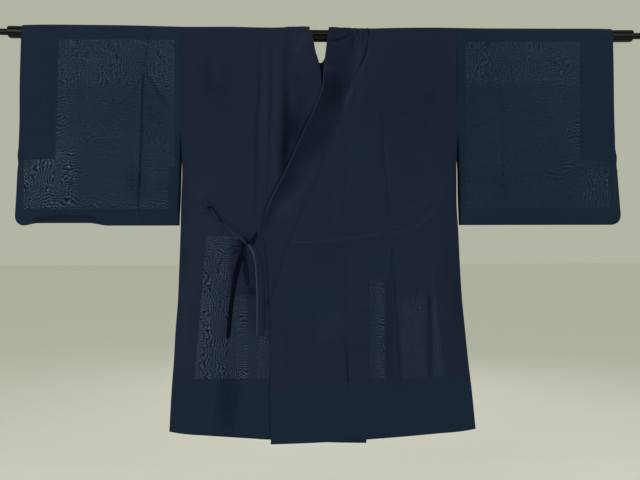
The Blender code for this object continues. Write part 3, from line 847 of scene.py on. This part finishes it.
def cloth(name, part, s, ends, finish, out=0.0, thick=CLOTH, step=ACROSS):
    """A cloth piece between two edges, one row for each s, with the fields that its finish reads."""
    low, high = np.minimum(*ends), np.maximum(*ends)
    share = np.linspace(0.0, 1.0, max(int(round(float(np.max(high - low)) / step)), 2) + 1)
    x = low[:, None] + (high - low)[:, None] * share
    s = np.repeat(s[:, None], len(share), axis=1)
    outer = drape(x, s, part, out)
    inner = outer - outward(x, s, part) * thick
    front, drop = s < 0.0, drop_of(s)
    # The tone field: painted shade, or painted highlight where it is below 0
    tone = crease_field(x, drop, front, part)[1] + shade_field(x, drop, part) * front
    if part == "body_right":
        tone = tone + under_overlap(x, drop) * front
    # Painted shade along a sleeve's loose edge
    if part == "sleeve":
        aside = (np.abs(x) - sleeve_edge(x, drop, "inner")) / SLIT_REACH
        tone = tone + SLIT_TONE * rise(drop, *SLIT_FROM) * bell(aside ** 2)
    light, bands, upright = light_fields(x, drop, part)
    return shell(name, outer, inner, finish, tone=tone, hem=rise(drop, *HEM_FROM), light=light,
                 bands=bands, upright=upright)


def under_overlap(x, drop):
    """Painted shadow on the right front beside the left collar's free edge."""
    gap = read(COLLAR_EDGE, "left_free", drop) - x
    along = OVERLAP_TONE * rise(drop, *OVERLAP_TONE_FROM) * fall(drop, *OVERLAP_TONE_TO)
    return along * smooth(gap / OVERLAP_EDGE + 1.0) * bell(np.maximum(gap, 0.0) / OVERLAP_REACH)


def box_share(value, low, high, soft):
    """1 well inside a range and 0 well outside it."""
    return smooth((value - low) / soft + 0.5) * smooth((high - value) / soft + 0.5)


def light_fields(x, drop, part):
    """How much painted light comes through, how strong its bands are, and how upright they run."""
    fields = [np.zeros_like(x), np.zeros_like(x), ripples(x, drop, UPRIGHT_SWAY)]
    for x0, x1, drop0, drop1, soft, *values in rows_of(LIGHT.get(part, "")):
        here = box_share(x, x0, x1, soft) * box_share(drop, drop0, drop1, soft)
        fields = [field + here * value for field, value in zip(fields, values)]
    light, bands, upright = fields
    light = light * uneven(x, drop, *LIGHT_UNEVEN)
    return light, bands * uneven(x, drop, *BANDS_UNEVEN), np.clip(upright, 0.0, 1.0)


def rows_between(start, end, extra=(), step=DOWN, fine=()):
    """Places along the cloth, closer on the rod and between two drops of the front, with some added."""
    rows = {round(float(value), 6) for value in extra if start < value < end}
    spans = [(start, -QUARTER, step), (-QUARTER, QUARTER, TURN), (QUARTER, end, step)]
    if fine:
        spans.append((s_of(fine[1]), s_of(fine[0]), FINE_DOWN))
    for low, high, apart in spans:
        low, high = max(low, start), min(high, end)
        if high - low > FINE_DOWN / 100:
            count = max(int(round((high - low) / apart)), 1) + 1
            rows |= set(np.round(np.linspace(low, high, count), 6))
    kept = []
    for value in sorted(rows):
        if not kept or value - kept[-1] > FINE_DOWN / 4:
            kept.append(value)
    return np.array(kept)


# Pieces of cloth

def body_inner(side, s):
    """A body panel's edge under the collar, at the overlap panel or at the centre back."""
    drop = drop_of(s)
    neck = (NECK[side] - LAP) * np.sqrt(np.clip(1.0 - (np.maximum(s, 0.0) / NECK_LONG) ** 2, 0.0, 1.0))
    collar = np.abs(read(COLLAR_EDGE, side + "_sewn", drop)) - LAP
    seam = abs(OKUMI_SEAM[side]) + SEWN_GAP / 2
    ahead = np.where(drop > OKUMI_TOP, seam, np.maximum(collar, seam))
    return SIGN[side] * np.where(s > -QUARTER, np.maximum(neck, TOUCH / 2), ahead)


def make_body(side, finish):
    extra = [s_of(OKUMI_TOP), s_of(ARMHOLE)] + NECK_ROWS
    s = rows_between(s_of(HEM_DROP), s_of(HEM_DROP, BACK), extra, fine=FINE_DROPS)
    ends = body_inner(side, s), read(SIDE_EDGE, side, drop_of(s))
    return cloth("gauze_body_" + side, "body_" + side, s, ends, finish)


def make_okumi(side, finish):
    collar_end = COLLAR_EDGE["drop"][-1]
    s = rows_between(s_of(HEM_DROP), s_of(OKUMI_TOP + OKUMI_CLEAR), [s_of(collar_end)], fine=FINE_DROPS)
    drop = drop_of(s)
    seam = np.full_like(s, OKUMI_SEAM[side] - SIGN[side] * SEWN_GAP / 2)
    collar = read(COLLAR_EDGE, side + "_sewn", drop) - SIGN[side] * LAP
    edge = np.where(drop <= collar_end, collar, read(FRONT_EDGE, side, drop))
    return cloth("gauze_okumi_" + side, "body_" + side, s, (seam, edge), finish)


def sleeve_cuff(side, drop):
    """A sleeve's outer edge, with its rounded lower corner."""
    into = np.clip(drop - (SLEEVE_DROP - SLEEVE_CORNER), 0.0, SLEEVE_CORNER)
    corner = SLEEVE_CORNER - np.sqrt(SLEEVE_CORNER ** 2 - into ** 2)
    return np.abs(read(SLEEVE_EDGE, side + "_cuff", drop)) - corner


def make_sleeve(side, finish):
    corner = SLEEVE_DROP - SLEEVE_CORNER * (1 - np.sin(np.radians(np.arange(30, 90, 8))))
    s = rows_between(s_of(SLEEVE_DROP), s_of(SLEEVE_DROP, BACK), [*s_of(corner), *s_of(corner, BACK)],
                     SLEEVE_DOWN)
    drop = drop_of(s)
    ends = read(SLEEVE_EDGE, side + "_inner", drop), SIGN[side] * sleeve_cuff(side, drop)
    return cloth("gauze_sleeve_" + side, "sleeve", s, ends, finish)


def make_facing(side, finish):
    s = rows_between(s_of(CUFF_OPENING), s_of(CUFF_OPENING, BACK))
    outer = SIGN[side] * (sleeve_cuff(side, drop_of(s)) - INSIDE)
    ends = np.full_like(s, SIGN[side] * CUFF_FACING_EDGE), outer
    return cloth("gauze_cuff_facing_" + side, "facing", s, ends, finish, -INSIDE, LINING, INNER_ACROSS)


def make_lining(side, finish):
    s = rows_between(s_of(LINING_FRONT_DROP), s_of(LINING_DROP, BACK), NECK_ROWS)
    drop = drop_of(s)
    away = LINING_INSET + LINING_STEP_IN * rise(drop, ARMHOLE, SIDE_OPENING_END - ARMHOLE)
    ends = body_inner(side, s), read(SIDE_EDGE, side, drop) - SIGN[side] * away
    return cloth("lining_shoulder_" + side, "lining", s, ends, finish, -INSIDE, LINING, INNER_ACROSS)


def collar_stations():
    """The collar band from its right end to its left one: sign of the side, sewn place, free place."""
    long = QUARTER + BACK_NECK_SEAM
    round_neck = np.sin(np.linspace(math.asin(QUARTER / long), math.pi / 2, BACK_STATIONS))
    behind = np.concatenate((np.arange(0.0, QUARTER, TURN / 2) / long, round_neck))
    halves = []
    for side, sign in SIGN.items():
        half = []
        for drop in np.arange(COLLAR_EDGE["drop"][-1], 0.0, -BAND_DOWN):
            edges = (float(read(COLLAR_EDGE, side + edge, drop)) for edge in ("_sewn", "_free"))
            half.append((sign, *((edge, s_of(drop)) for edge in edges)))
        sewn, free = sign * NECK[side], sign * COLLAR_FREE[side]
        for s in np.arange(-QUARTER, -TURN / 4, TURN / 2):
            half.append((sign, (sewn, s), (free, s)))
        for share in behind:
            reach = math.sqrt(max(1.0 - share * share, 0.0))
            half.append((sign, (sewn * reach, long * share),
                         (free * reach, (QUARTER + BACK_NECK_EDGE) * share)))
        halves.append(half)
    return halves[0] + halves[1][-2::-1]


def collar_relief(x, s, on_left):
    """Small pleats and puckers where the band bends over the shoulders, and its soft waves."""
    outer = rise(np.abs(x), *PLEATS_OUT)
    pleats = PLEAT * np.sin(ROUND * (np.abs(x) - PLEAT_START + PLEAT_LEAN * s) / PLEAT_PITCH) * outer
    tugs = TUG * np.sin(ROUND * (s * TUG_S + x * TUG_X) / TUG_PITCH) * (1 - outer)
    near_top = bell((s - PLEAT_MIDDLE) / PLEAT_REACH) * np.where(on_left, 1.0, RIGHT_PLEATS)
    return (pleats + tugs) * near_top + ripples(x, s, *BAND_RIPPLES)


def make_collar(finish):
    """The collar band, crowned a little between its folded edges."""
    signs, sewn, free = (np.array(column) for column in zip(*collar_stations()))
    share = 0.5 - 0.5 * np.cos(np.linspace(0.0, math.pi, BAND_COLUMNS + 1))
    x, s = np.moveaxis(sewn[:, None, :] + (free - sewn)[:, None, :] * share[None, :, None], -1, 0)
    front, drop = s < 0, drop_of(s)
    on_left = signs[:, None] > 0

    def by_side(make, mask=on_left):
        return np.where(mask, make("left"), make("right"))

    width = np.linalg.norm(free - sewn, axis=1)[:, None]
    from_sewn, from_free = share * width, (1.0 - share) * width
    from_edge = np.minimum(from_sewn, from_free)
    crown = BAND_PROUD - CROWN * (1.0 - np.clip(from_edge / CROWN_RUN, 0.0, 1.0)) ** 2
    creased, tone = by_side(lambda side: np.array(crease_field(x, drop, front, "collar_" + side)))
    out = crown + (collar_relief(x, s, on_left) + creased) * smooth(from_edge / RELIEF_RUN)
    middle = by_side(lambda side: drape(x, s, "body_" + side), on_left[..., None])
    normal = by_side(lambda side: outward(x, s, "body_" + side), on_left[..., None])
    tone = tone + front * by_side(lambda side: shade_field(x, drop, "collar_" + side))
    # Painted shade beside the left collar's free edge, a painted highlight on that edge and a dark line
    # at its seam; on the right collar, painted shadow beside the left one
    reach = DARK_REACH + DARK_FARTHER * fall(drop, *FARTHER_TO)
    dark = (EDGE_DARK + EDGE_DARKER * rise(drop, *DARKER_FROM)) * fall(drop, *DARK_TO)
    bright = EDGE_BRIGHT * rise(drop, *BRIGHT_FROM) * fall(drop, *BRIGHT_TO)
    line = EDGE_LINE + EDGE_WIDER * rise(drop, *WIDER_FROM)
    seam = SEAM_DARK * rise(drop, *SEAM_FROM) * fall(drop, *SEAM_TO) * bell(from_sewn / SEAM_REACH)
    edges = dark * bell(from_free / reach) - bright * bell(from_free / line) + seam
    tone = tone + front * np.where(on_left, edges, under_overlap(x, drop))
    outer, inner = middle + normal * out[..., None], middle - normal * (BAND - BAND_PROUD)
    return shell("gauze_collar", outer, inner, finish, tone=tone)


# Ties

def make_tie(name, finish):
    """A flat stretch of tie lying on the right front, with a soft fold along it."""
    (plain, first, second), path = TIES[name][1:]
    across, down, half = np.array(rows_of(path)).T
    length = np.concatenate(((0.0,), np.cumsum(np.hypot(np.diff(across), np.diff(down)))))
    table = {"drop": length, "x": across, "down": down, "half": half}
    at = np.linspace(0.0, length[-1], max(int(length[-1] / TIE_STEP), 4) + 1)
    middle = np.stack((read(table, "x", at), read(table, "down", at)), -1)
    along = np.gradient(middle, axis=0)
    along /= np.linalg.norm(along, axis=1)[:, None]
    share = np.linspace(-1.0, 1.0, TIE_COLUMNS)
    half, at = read(table, "half", at)[:, None], at[:, None]
    x = middle[:, :1] - along[:, 1:] * half * share
    drop = middle[:, 1:] + along[:, :1] * half * share
    fold = TIE_FOLD * (1.0 - np.abs(share - TIE_SWAY * np.sin(at / TIE_SWAY_LONG)) ** TIE_FOLD_POWER)
    out = (TOUCH + TIE_CLOTH + np.clip(fold, 0.0, None) * smooth(at / TIE_FOLD_RUN))[..., None]
    under = drape(x, s_of(drop), "body_right")
    normal = outward(x, s_of(drop), "body_right")
    tone = plain + first * bell((1.0 + share) * half / TIE_LINE)
    tone = tone + second * bell((1.0 - share) * half / TIE_LINE) + crease_field(x, drop, True, "tie")[1]
    outer, inner = under + normal * out, under + normal * (out - TIE_CLOTH)
    return shell(name.replace("tie_", "himo_"), outer, inner, finish, tone=tone)


def make_knot(finish):
    """The knot: crossing lobes of folded tie, joined and smoothed."""
    low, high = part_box("tie_knot")
    centre, half = np.array((low + high) / 2), np.array((high - low) / 2)
    polar = np.linspace(0.0, math.pi, KNOT_RINGS + 1)[:, None]
    turn = np.arange(KNOT_SEGMENTS) * ROUND / KNOT_SEGMENTS
    ball = np.stack((np.sin(polar) * np.cos(turn), np.sin(polar) * np.sin(turn),
                     np.cos(polar) + 0.0 * turn), -1).reshape(-1, 3)
    vertices, faces = [], []
    for place, size, angle in KNOT_LOBES:
        cos, sin = math.cos(math.radians(angle)), math.sin(math.radians(angle))
        turned = (ball * size) @ np.array(((cos, 0.0, -sin), (0.0, 1.0, 0.0), (sin, 0.0, cos)))
        faces += ring_faces(KNOT_RINGS, KNOT_SEGMENTS, len(vertices))
        vertices += list(centre + half * (place + turned))
    made = new_object("himo_knot", vertices, faces, finish)
    joined = made.modifiers.new("join", "REMESH")
    joined.mode = "VOXEL"
    joined.voxel_size = KNOT_VOXEL
    made.modifiers.new("soften", "SMOOTH").iterations = KNOT_SMOOTHINGS
    mesh = bpy.data.meshes.new_from_object(made.evaluated_get(bpy.context.evaluated_depsgraph_get()))
    made.modifiers.clear()
    made.data = mesh
    mesh.shade_smooth()
    places = np.array([vertex.co for vertex in mesh.vertices]) - centre
    # The knot is darkened all over, with a painted highlight on its band
    off_band = (places[:, 0] + places[:, 2]) / KNOT_BAND_HALF
    add_field(made, "tone", KNOT_TONE + KNOT_BAND_TONE * bell(off_band))
    return made


# Rod

def make_rod_piece(name, node, ends, radius, rounding, finish):
    """A turned bar along X with rounded ends, bent up a little away from the rod's middle."""
    low, high = ends
    arc = np.linspace(0.0, math.pi / 2, ROD_ARCS + 1)
    inset, reach = rounding * (1 - np.cos(arc)), radius - rounding * (1 - np.sin(arc))
    steps = max(int((high - low) / ROD_STEP), 2)
    between = np.linspace(low + rounding, high - rounding, steps + 1)[1:-1]
    x = np.concatenate((low + inset, between, (high - inset)[::-1]))[:, None]
    reach = np.concatenate((reach, np.full_like(between, radius), reach[::-1]))[:, None]
    lift = np.where(x < 0, ROD_RISE["right"], ROD_RISE["left"]) * (x / ROD_HALF) ** 2
    turn = np.arange(ROD_SEGMENTS) * ROUND / ROD_SEGMENTS
    grid = np.broadcast_arrays(x, reach * np.sin(turn), lift + reach * np.cos(turn))
    first, last = range(ROD_SEGMENTS), range((x.size - 1) * ROD_SEGMENTS, x.size * ROD_SEGMENTS)
    faces = ring_faces(x.size - 1, ROD_SEGMENTS) + [tuple(first), tuple(reversed(last))]
    declare(new_object(name, np.stack(grid, -1).reshape(-1, 3), faces, finish), node)


# Finishes

SOFT_EDGE = 0.0012


class Value:
    """A node's output that takes plain arithmetic, and adds a node for each step."""

    def __init__(self, graph, socket):
        self.graph, self.socket = graph, socket

    def __add__(self, other):
        return self.graph.math("ADD", self, other)

    def __sub__(self, other):
        return self.graph.math("SUBTRACT", self, other)

    def __rsub__(self, other):
        return self.graph.math("SUBTRACT", other, self)

    def __mul__(self, other):
        return self.graph.math("MULTIPLY", self, other)

    __radd__, __rmul__ = __add__, __mul__


class Graph:
    """Short calls for a material's nodes."""

    def __init__(self, name):
        self.material = bpy.data.materials.new(name)
        self.material.use_nodes = True
        self.tree = self.material.node_tree

    def wire(self, node, inputs):
        """Links or sets a node's inputs."""
        for key, value in inputs.items():
            if isinstance(value, Value):
                self.tree.links.new(value.socket, node.inputs[key])
            else:
                node.inputs[key].default_value = (*value, 1.0) if isinstance(value, tuple) else value

    def node(self, kind, result, inputs, **settings):
        """One output of a new node."""
        made = self.tree.nodes.new("ShaderNode" + kind)
        for name, value in settings.items():
            setattr(made, name, value)
        self.wire(made, inputs)
        return Value(self, made.outputs[result])

    def finished(self, inputs):
        """The material, with its shader's inputs."""
        self.wire(self.tree.nodes["Principled BSDF"], inputs)
        return self.material

    def math(self, operation, a, b=0.0, clamp=False):
        return self.node("Math", 0, {0: a, 1: b}, operation=operation, use_clamp=clamp)

    def between(self, value, least, most):
        return self.math("MINIMUM", self.math("MAXIMUM", value, least), most)

    def over(self, a, b, soft=SOFT_EDGE):
        """1 where a is over b, and 0 where it is under it."""
        inputs = {"Value": a - b, "From Min": -soft, "From Max": soft}
        return self.node("MapRange", 0, inputs, interpolation_type="SMOOTHSTEP")

    def colour_mix(self, share, a, b, kind="MIX"):
        inputs = {"Factor": share, "A": a, "B": b}
        return self.node("Mix", "Result", inputs, data_type="RGBA", blend_type=kind)

    def vector(self, x, y, z):
        return self.node("CombineXYZ", 0, {0: x, 1: y, 2: z})

    def place(self):
        """The object's own coordinates."""
        return self.node("TexCoord", "Object", {})

    def noise(self, vector, scale, detail=2.0, rough=0.5):
        inputs = {"Vector": vector, "Scale": scale, "Detail": detail, "Roughness": rough}
        return self.node("TexNoise", "Fac", inputs)

    def attribute(self, name):
        return self.node("Attribute", "Fac", {}, attribute_name=name)

    def bump(self, height, strength, distance, **under):
        inputs = {"Height": height, "Strength": strength, "Distance": distance, **under}
        return self.node("Bump", 0, inputs)


NAVY = (0.0082, 0.0141, 0.0345)
NAVY_SLEEVE = (0.0057, 0.0153, 0.0336)
NAVY_BAND = (0.0077, 0.0132, 0.0325)
NAVY_LINING = (0.0070, 0.0120, 0.0280)
# Colour of the painted light that comes through two layers of gauze
BACKLIT_NAVY = (0.0620, 0.0910, 0.1390)
SHEEN_BLUE = (0.45, 0.55, 0.85)
LACQUER_BLACKS = (0.001, 0.001, 0.001), (0.002, 0.002, 0.002)
FLOOR_PAINTS = (0.92, 0.92, 0.90), (0.9062, 0.9062, 0.8865)
THREAD_PITCH = 0.0009

# Bands of two layers: how many to the metre, how far they wobble, how patchy and how strong they are
SLEEVE_BANDS, BODY_BANDS = 140.0, 172.0
BAND_WOBBLE = 9.0
BAND_PATCH_LEAST, BAND_GAIN = 0.38, 8.5

# The gauze's shade: its base, and the weights of bars, streaks, mottle, threads and painted highlights
SHADE_BASE, BARS, STREAKS, MOTTLE, THREADS, BRIGHT = 0.60, 0.34, 0.22, 0.24, 0.10, 0.25
SHADE_LEAST, SHADE_MOST, SHADE_OF_LIGHT = 0.06, 1.6, 1.3
# The pale grey that painted highlights add, the hue's sway, the hem's hue and the cool share; then how
# the painted light through two layers clouds, and how its bands' dark side darkens
PAINTED_HIGHLIGHT_GREY, HUE_SWAY, HEM_HUE, COOL_SHARE = 0.011, 0.45, 0.20, 0.5
CLOUD_BASE, CLOUD, CLOSING, CLOSED_LEAST = 0.55, 0.90, 2.0, 0.35

# Where a sleeve has just its two layers: for the right and the left one the facing's edge, its lean and
# its lower end, the cuff below it, and how far the inner edge steps out; then x and z for both
FACING, FACING_LEAN, FACING_END = (0.5805, 0.5850), (0.0193, -0.0167), (-0.2845, -0.2850)
CUFF, INNER_STEP = (0.6570, 0.6500), (0.0140, 0.0)
SLEEVE_INNER, INNER_STEP_Z, SLEEVE_TOP_Z, SLEEVE_LOW_Z = 0.3253, -0.300, -0.0170, -0.3930

# Where the body has just its two: the right strip's leaning edge, inner edge and top, then the left
# strips: inner edge, how soft it is, outer edge, how soft it is; the third one's outer edge leans
RIGHT_EDGE, RIGHT_LEAN, RIGHT_FROM_Z = -0.2540, 0.0815, -0.459
RIGHT_INNER, RIGHT_TOP_Z = -0.1140, -0.4540
LEFT_EDGE, LEFT_LEAN, LEFT_FROM_Z, HEM_Z = 0.2535, -0.114, -0.601, -0.7675
LEFT_STRIPS = (0.1046, SOFT_EDGE, 0.1400, 0.0025), (0.1750, 0.0030, 0.2325, 0.0030)
LEFT_OUTER, LEFT_OUTER_SOFT, LEFT_EDGE_SOFT = 0.2466, 0.0015, 0.0020


def moire(g, x, z, rate):
    """Bands in the painted light through two layers of gauze, from -1 to 1: level ones and upright ones.
    """
    flat = g.noise(g.vector(x, 0.0, z * 0.8), 16.0, 3.0, 0.60)
    tall = g.noise(g.vector(x + 3.7, 1.3, z * 1.2), 18.0, 3.0, 0.60)
    level, upright = (g.math("SINE", place * (rate * ROUND) + wobble * (BAND_WOBBLE * ROUND))
                      for place, wobble in ((z, flat), (x, tall)))
    share = g.attribute("upright")
    patches = g.noise(g.vector(x, 2.1, z), 30.0, 4.0, 0.75)
    strength = g.math("MAXIMUM", patches - BAND_PATCH_LEAST, 0.0) * BAND_GAIN
    return (level * (1.0 - share) + upright * share) * strength


def sleeve_zone(g, x, z):
    """1 where a sleeve has just its two layers, clear of the facings and allowances."""
    away, on_left = g.math("ABSOLUTE", x), g.over(x, 0.0)

    def side(pair):
        return on_left * (pair[1] - pair[0]) + pair[0]

    facing = side(FACING) - z * side(FACING_LEAN)
    cuff = facing + g.over(side(FACING_END), z) * (side(CUFF) - facing)
    inner = g.over(INNER_STEP_Z, z) * side(INNER_STEP) + SLEEVE_INNER
    return g.over(away, inner) * g.over(cuff, away) * g.over(SLEEVE_TOP_Z, z) * g.over(z, SLEEVE_LOW_Z)


def body_zone(g, x, z):
    """1 where the body has just its two layers."""
    zone = g.over(x, (z - RIGHT_FROM_Z) * RIGHT_LEAN + RIGHT_EDGE) * g.over(RIGHT_INNER, x)
    zone = zone * g.over(RIGHT_TOP_Z, z)
    outer = (z - LEFT_FROM_Z) * LEFT_LEAN + LEFT_EDGE
    for low, soft, high, fade in (*LEFT_STRIPS, (LEFT_OUTER, LEFT_OUTER_SOFT, outer, LEFT_EDGE_SOFT)):
        zone = zone + g.over(x, low, soft) * g.over(high, x, fade)
    return zone * g.over(z, HEM_Z)


def gauze(name, colour, zone=None, rate=0.0):
    """Sheer navy gauze: fine weave, faint level bars, and in its zones painted light through two layers,
    with its bands.
    """
    g = Graph(name)
    place = g.place()
    x, z = (g.node("SeparateXYZ", axis, {0: place}) for axis in "XZ")
    warp, weft = (g.math("SINE", along * (ROUND / THREAD_PITCH)) for along in (x, z))
    threads = warp * weft * 0.5 + 0.5
    mottle = g.noise(place, 9.0, 3.0)
    bars = g.noise(g.vector(x * 1.2, 0.0, z * 42.0), 6.0)
    streaks = g.noise(g.vector(x * 60.0, 0.0, z), 5.0)
    shade = bars * BARS + SHADE_BASE + streaks * STREAKS + mottle * MOTTLE + (threads - 0.5) * THREADS
    # Painted shade (tone above 0) darkens the base and dims the gloss and sheen; painted highlight
    # (below 0) lightens it and adds a pale grey
    tone = g.attribute("tone")
    dark, bright = (g.math("MAXIMUM", value, 0.0) for value in (tone, 0.0 - tone))
    shade = g.between(shade - dark + bright * BRIGHT, SHADE_LEAST, SHADE_MOST)
    unshaded = g.math("SUBTRACT", 1.0, dark, clamp=True)
    hue = (g.noise(place, 4.0) - 0.5) * HUE_SWAY - g.attribute("hem") * HEM_HUE
    tint = g.vector(shade * (hue + 1.0), shade * (1.0 - hue * COOL_SHARE), shade)
    base = g.colour_mix(1.0, colour, tint, "MULTIPLY")
    base = g.colour_mix(1.0, base, g.vector(*[bright * PAINTED_HIGHLIGHT_GREY] * 3), "ADD")
    # Painted light through two layers, clouded and banded: it lightens the base, and the bands' dark
    # side darkens it
    if zone:
        cloudy = g.noise(place, 42.0, 3.0, 0.6) * CLOUD + CLOUD_BASE
        through = g.attribute("light") * cloudy + moire(g, x, z, rate) * g.attribute("bands")
        through = zone(g, x, z) * through
        closed = g.math("MAXIMUM", g.math("MINIMUM", through, 0.0) * CLOSING + 1.0, CLOSED_LEAST)
        base = g.colour_mix(1.0, base, g.vector(*[closed] * 3), "MULTIPLY")
        light = g.math("MULTIPLY", through, g.math("MINIMUM", shade, SHADE_OF_LIGHT), clamp=True)
        base = g.colour_mix(light, base, BACKLIT_NAVY)
    crinkle = g.bump(g.noise(place, 70.0, 3.0, 0.6), 0.10, 0.0010)
    return g.finished({
        "Base Color": base, "Roughness": mottle * 0.16 + 0.74, "Specular IOR Level": unshaded * 0.10,
        "Sheen Weight": unshaded * 0.06, "Sheen Roughness": 0.45, "Sheen Tint": SHEEN_BLUE,
        "Normal": g.bump(threads, 0.25, 0.00015, Normal=crinkle)})


def lacquer():
    """Glossy black lacquer with faint unevenness in its gloss."""
    g = Graph("black_lacquer")
    cloudy = g.noise(g.place(), 30.0, 3.0)
    return g.finished({
        "Base Color": g.colour_mix(cloudy, *LACQUER_BLACKS), "Roughness": cloudy * 0.04 + 0.05,
        "Specular IOR Level": 0.14, "Normal": g.bump(g.noise(g.place(), 220.0), 0.05, 0.0002)})


def floor_paint():
    """The floor's plain paint, with a trace of unevenness."""
    g = Graph("pale_floor")
    paint = g.colour_mix(g.noise(g.place(), 2.0), *FLOOR_PAINTS)
    return g.finished({"Base Color": paint, "Roughness": 0.9})


# Camera, floor and light

CAMERA_PLACE = (-0.0296, -1.2559, -0.5011)
CAMERA_YAW, CAMERA_PITCH, CAMERA_ROLL = (math.radians(angle) for angle in (1.217, 1.740, -0.166))
CAMERA_LENS = 31.5
CAMERA_SENSOR = 36.0
CAMERA_NEAREST = 0.02
FLOOR = -1.30
FLOOR_HALF = 60.0
BACKGROUND = (0.455, 0.467, 0.375)

# Lamps: name, place, aim, size, watts, colour
LAMPS = (
    ("key", (-1.5, -2.3, 0.2), (0.0, 0.0, -1.2), (1.6, 1.2), 25.5, (1.0, 0.98, 0.94)),
    ("fill", (1.9, -2.0, 0.2), (0.0, 0.0, -1.2), (1.4, 1.4), 12.7, (0.92, 0.96, 1.0)),
    ("top", (0.0, -1.6, 1.05), (0.0, 0.0, 0.0), (2.2, 0.10), 7.0, (1.0, 1.0, 0.98)),
    ("rear", (0.4, 2.4, 0.9), (0.0, 0.0, -0.4), (1.6, 1.2), 14.0, (1.0, 0.98, 0.94)),
)


def make_camera():
    data = bpy.data.cameras.new("camera")
    data.sensor_width, data.lens, data.clip_start = CAMERA_SENSOR, CAMERA_LENS, CAMERA_NEAREST
    made = linked("camera", data)
    made.matrix_world = Matrix.Translation(CAMERA_PLACE)
    for angle, axis in ((-CAMERA_YAW, "Z"), (math.pi / 2 + CAMERA_PITCH, "X"), (CAMERA_ROLL, "Z")):
        made.matrix_world = made.matrix_world @ Matrix.Rotation(angle, 4, axis)
    bpy.context.scene.camera = made


def make_stage():
    """The background, the floor and the soft lamps."""
    world = bpy.data.worlds.new("studio")
    bpy.context.scene.world = world
    world.use_nodes = True
    inputs = world.node_tree.nodes["Background"].inputs
    inputs["Color"].default_value, inputs["Strength"].default_value = (*BACKGROUND, 1.0), 1.0
    mesh = bpy.data.meshes.new("floor")
    signs = (-1, -1), (1, -1), (1, 1), (-1, 1)
    mesh.from_pydata([(x * FLOOR_HALF, y * FLOOR_HALF, FLOOR) for x, y in signs], [], [(0, 1, 2, 3)])
    mesh.materials.append(floor_paint())
    linked("floor", mesh)
    for name, place, aim, size, watts, colour in LAMPS:
        data = bpy.data.lights.new(name, "AREA")
        data.shape = "RECTANGLE"
        data.size, data.size_y, data.energy, data.color = *size, watts, colour
        lamp = linked(name, data)
        lamp.location = place
        lamp.rotation_euler = (Vector(aim) - Vector(place)).to_track_quat("-Z", "Y").to_euler()


def declare(piece, node):
    """Hides the model's node that a piece stands for."""
    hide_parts(node)


def main():
    bpy.context.scene.view_settings.view_transform = "Standard"
    bpy.context.scene.view_settings.look = "None"
    make_camera()
    make_stage()
    sleeve_gauze = gauze("navy_gauze_sleeves", NAVY_SLEEVE, sleeve_zone, SLEEVE_BANDS)
    body_gauze = gauze("navy_gauze_body", NAVY, body_zone, BODY_BANDS)
    band_gauze = gauze("navy_gauze_band", NAVY_BAND)
    lining = gauze("navy_lining", NAVY_LINING)
    black = lacquer()

    for side in ("right", "left"):
        declare(make_body(side, body_gauze), "body_" + side)
        declare(make_okumi(side, body_gauze), "okumi_" + side)
        declare(make_sleeve(side, sleeve_gauze), "sleeve_" + side)
        declare(make_facing(side, lining), "cuff_facing_" + side)
        declare(make_lining(side, lining), "shoulder_lining_" + side)
    declare(make_collar(band_gauze), "collar")
    declare(make_knot(band_gauze), "tie_knot")
    for name, (flat, *_rest) in TIES.items():
        declare(make_tie(name, band_gauze), name)
    low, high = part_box("rod_tube")
    start, end = low.x - ROD_LONGER, high.x + ROD_LONGER
    make_rod_piece("lacquered_rod", "rod_tube", (start, end), ROD_RADIUS, ROD_ROUNDING, black)
    for side, ends in (("right", (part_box("rod_end_right")[0].x, start - TOUCH)),
                       ("left", (end + TOUCH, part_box("rod_end_left")[1].x))):
        make_rod_piece("lacquered_rod_end_" + side, "rod_end_" + side, ends, ROD_END_RADIUS,
                       ROD_END_ROUNDING, black)


main()
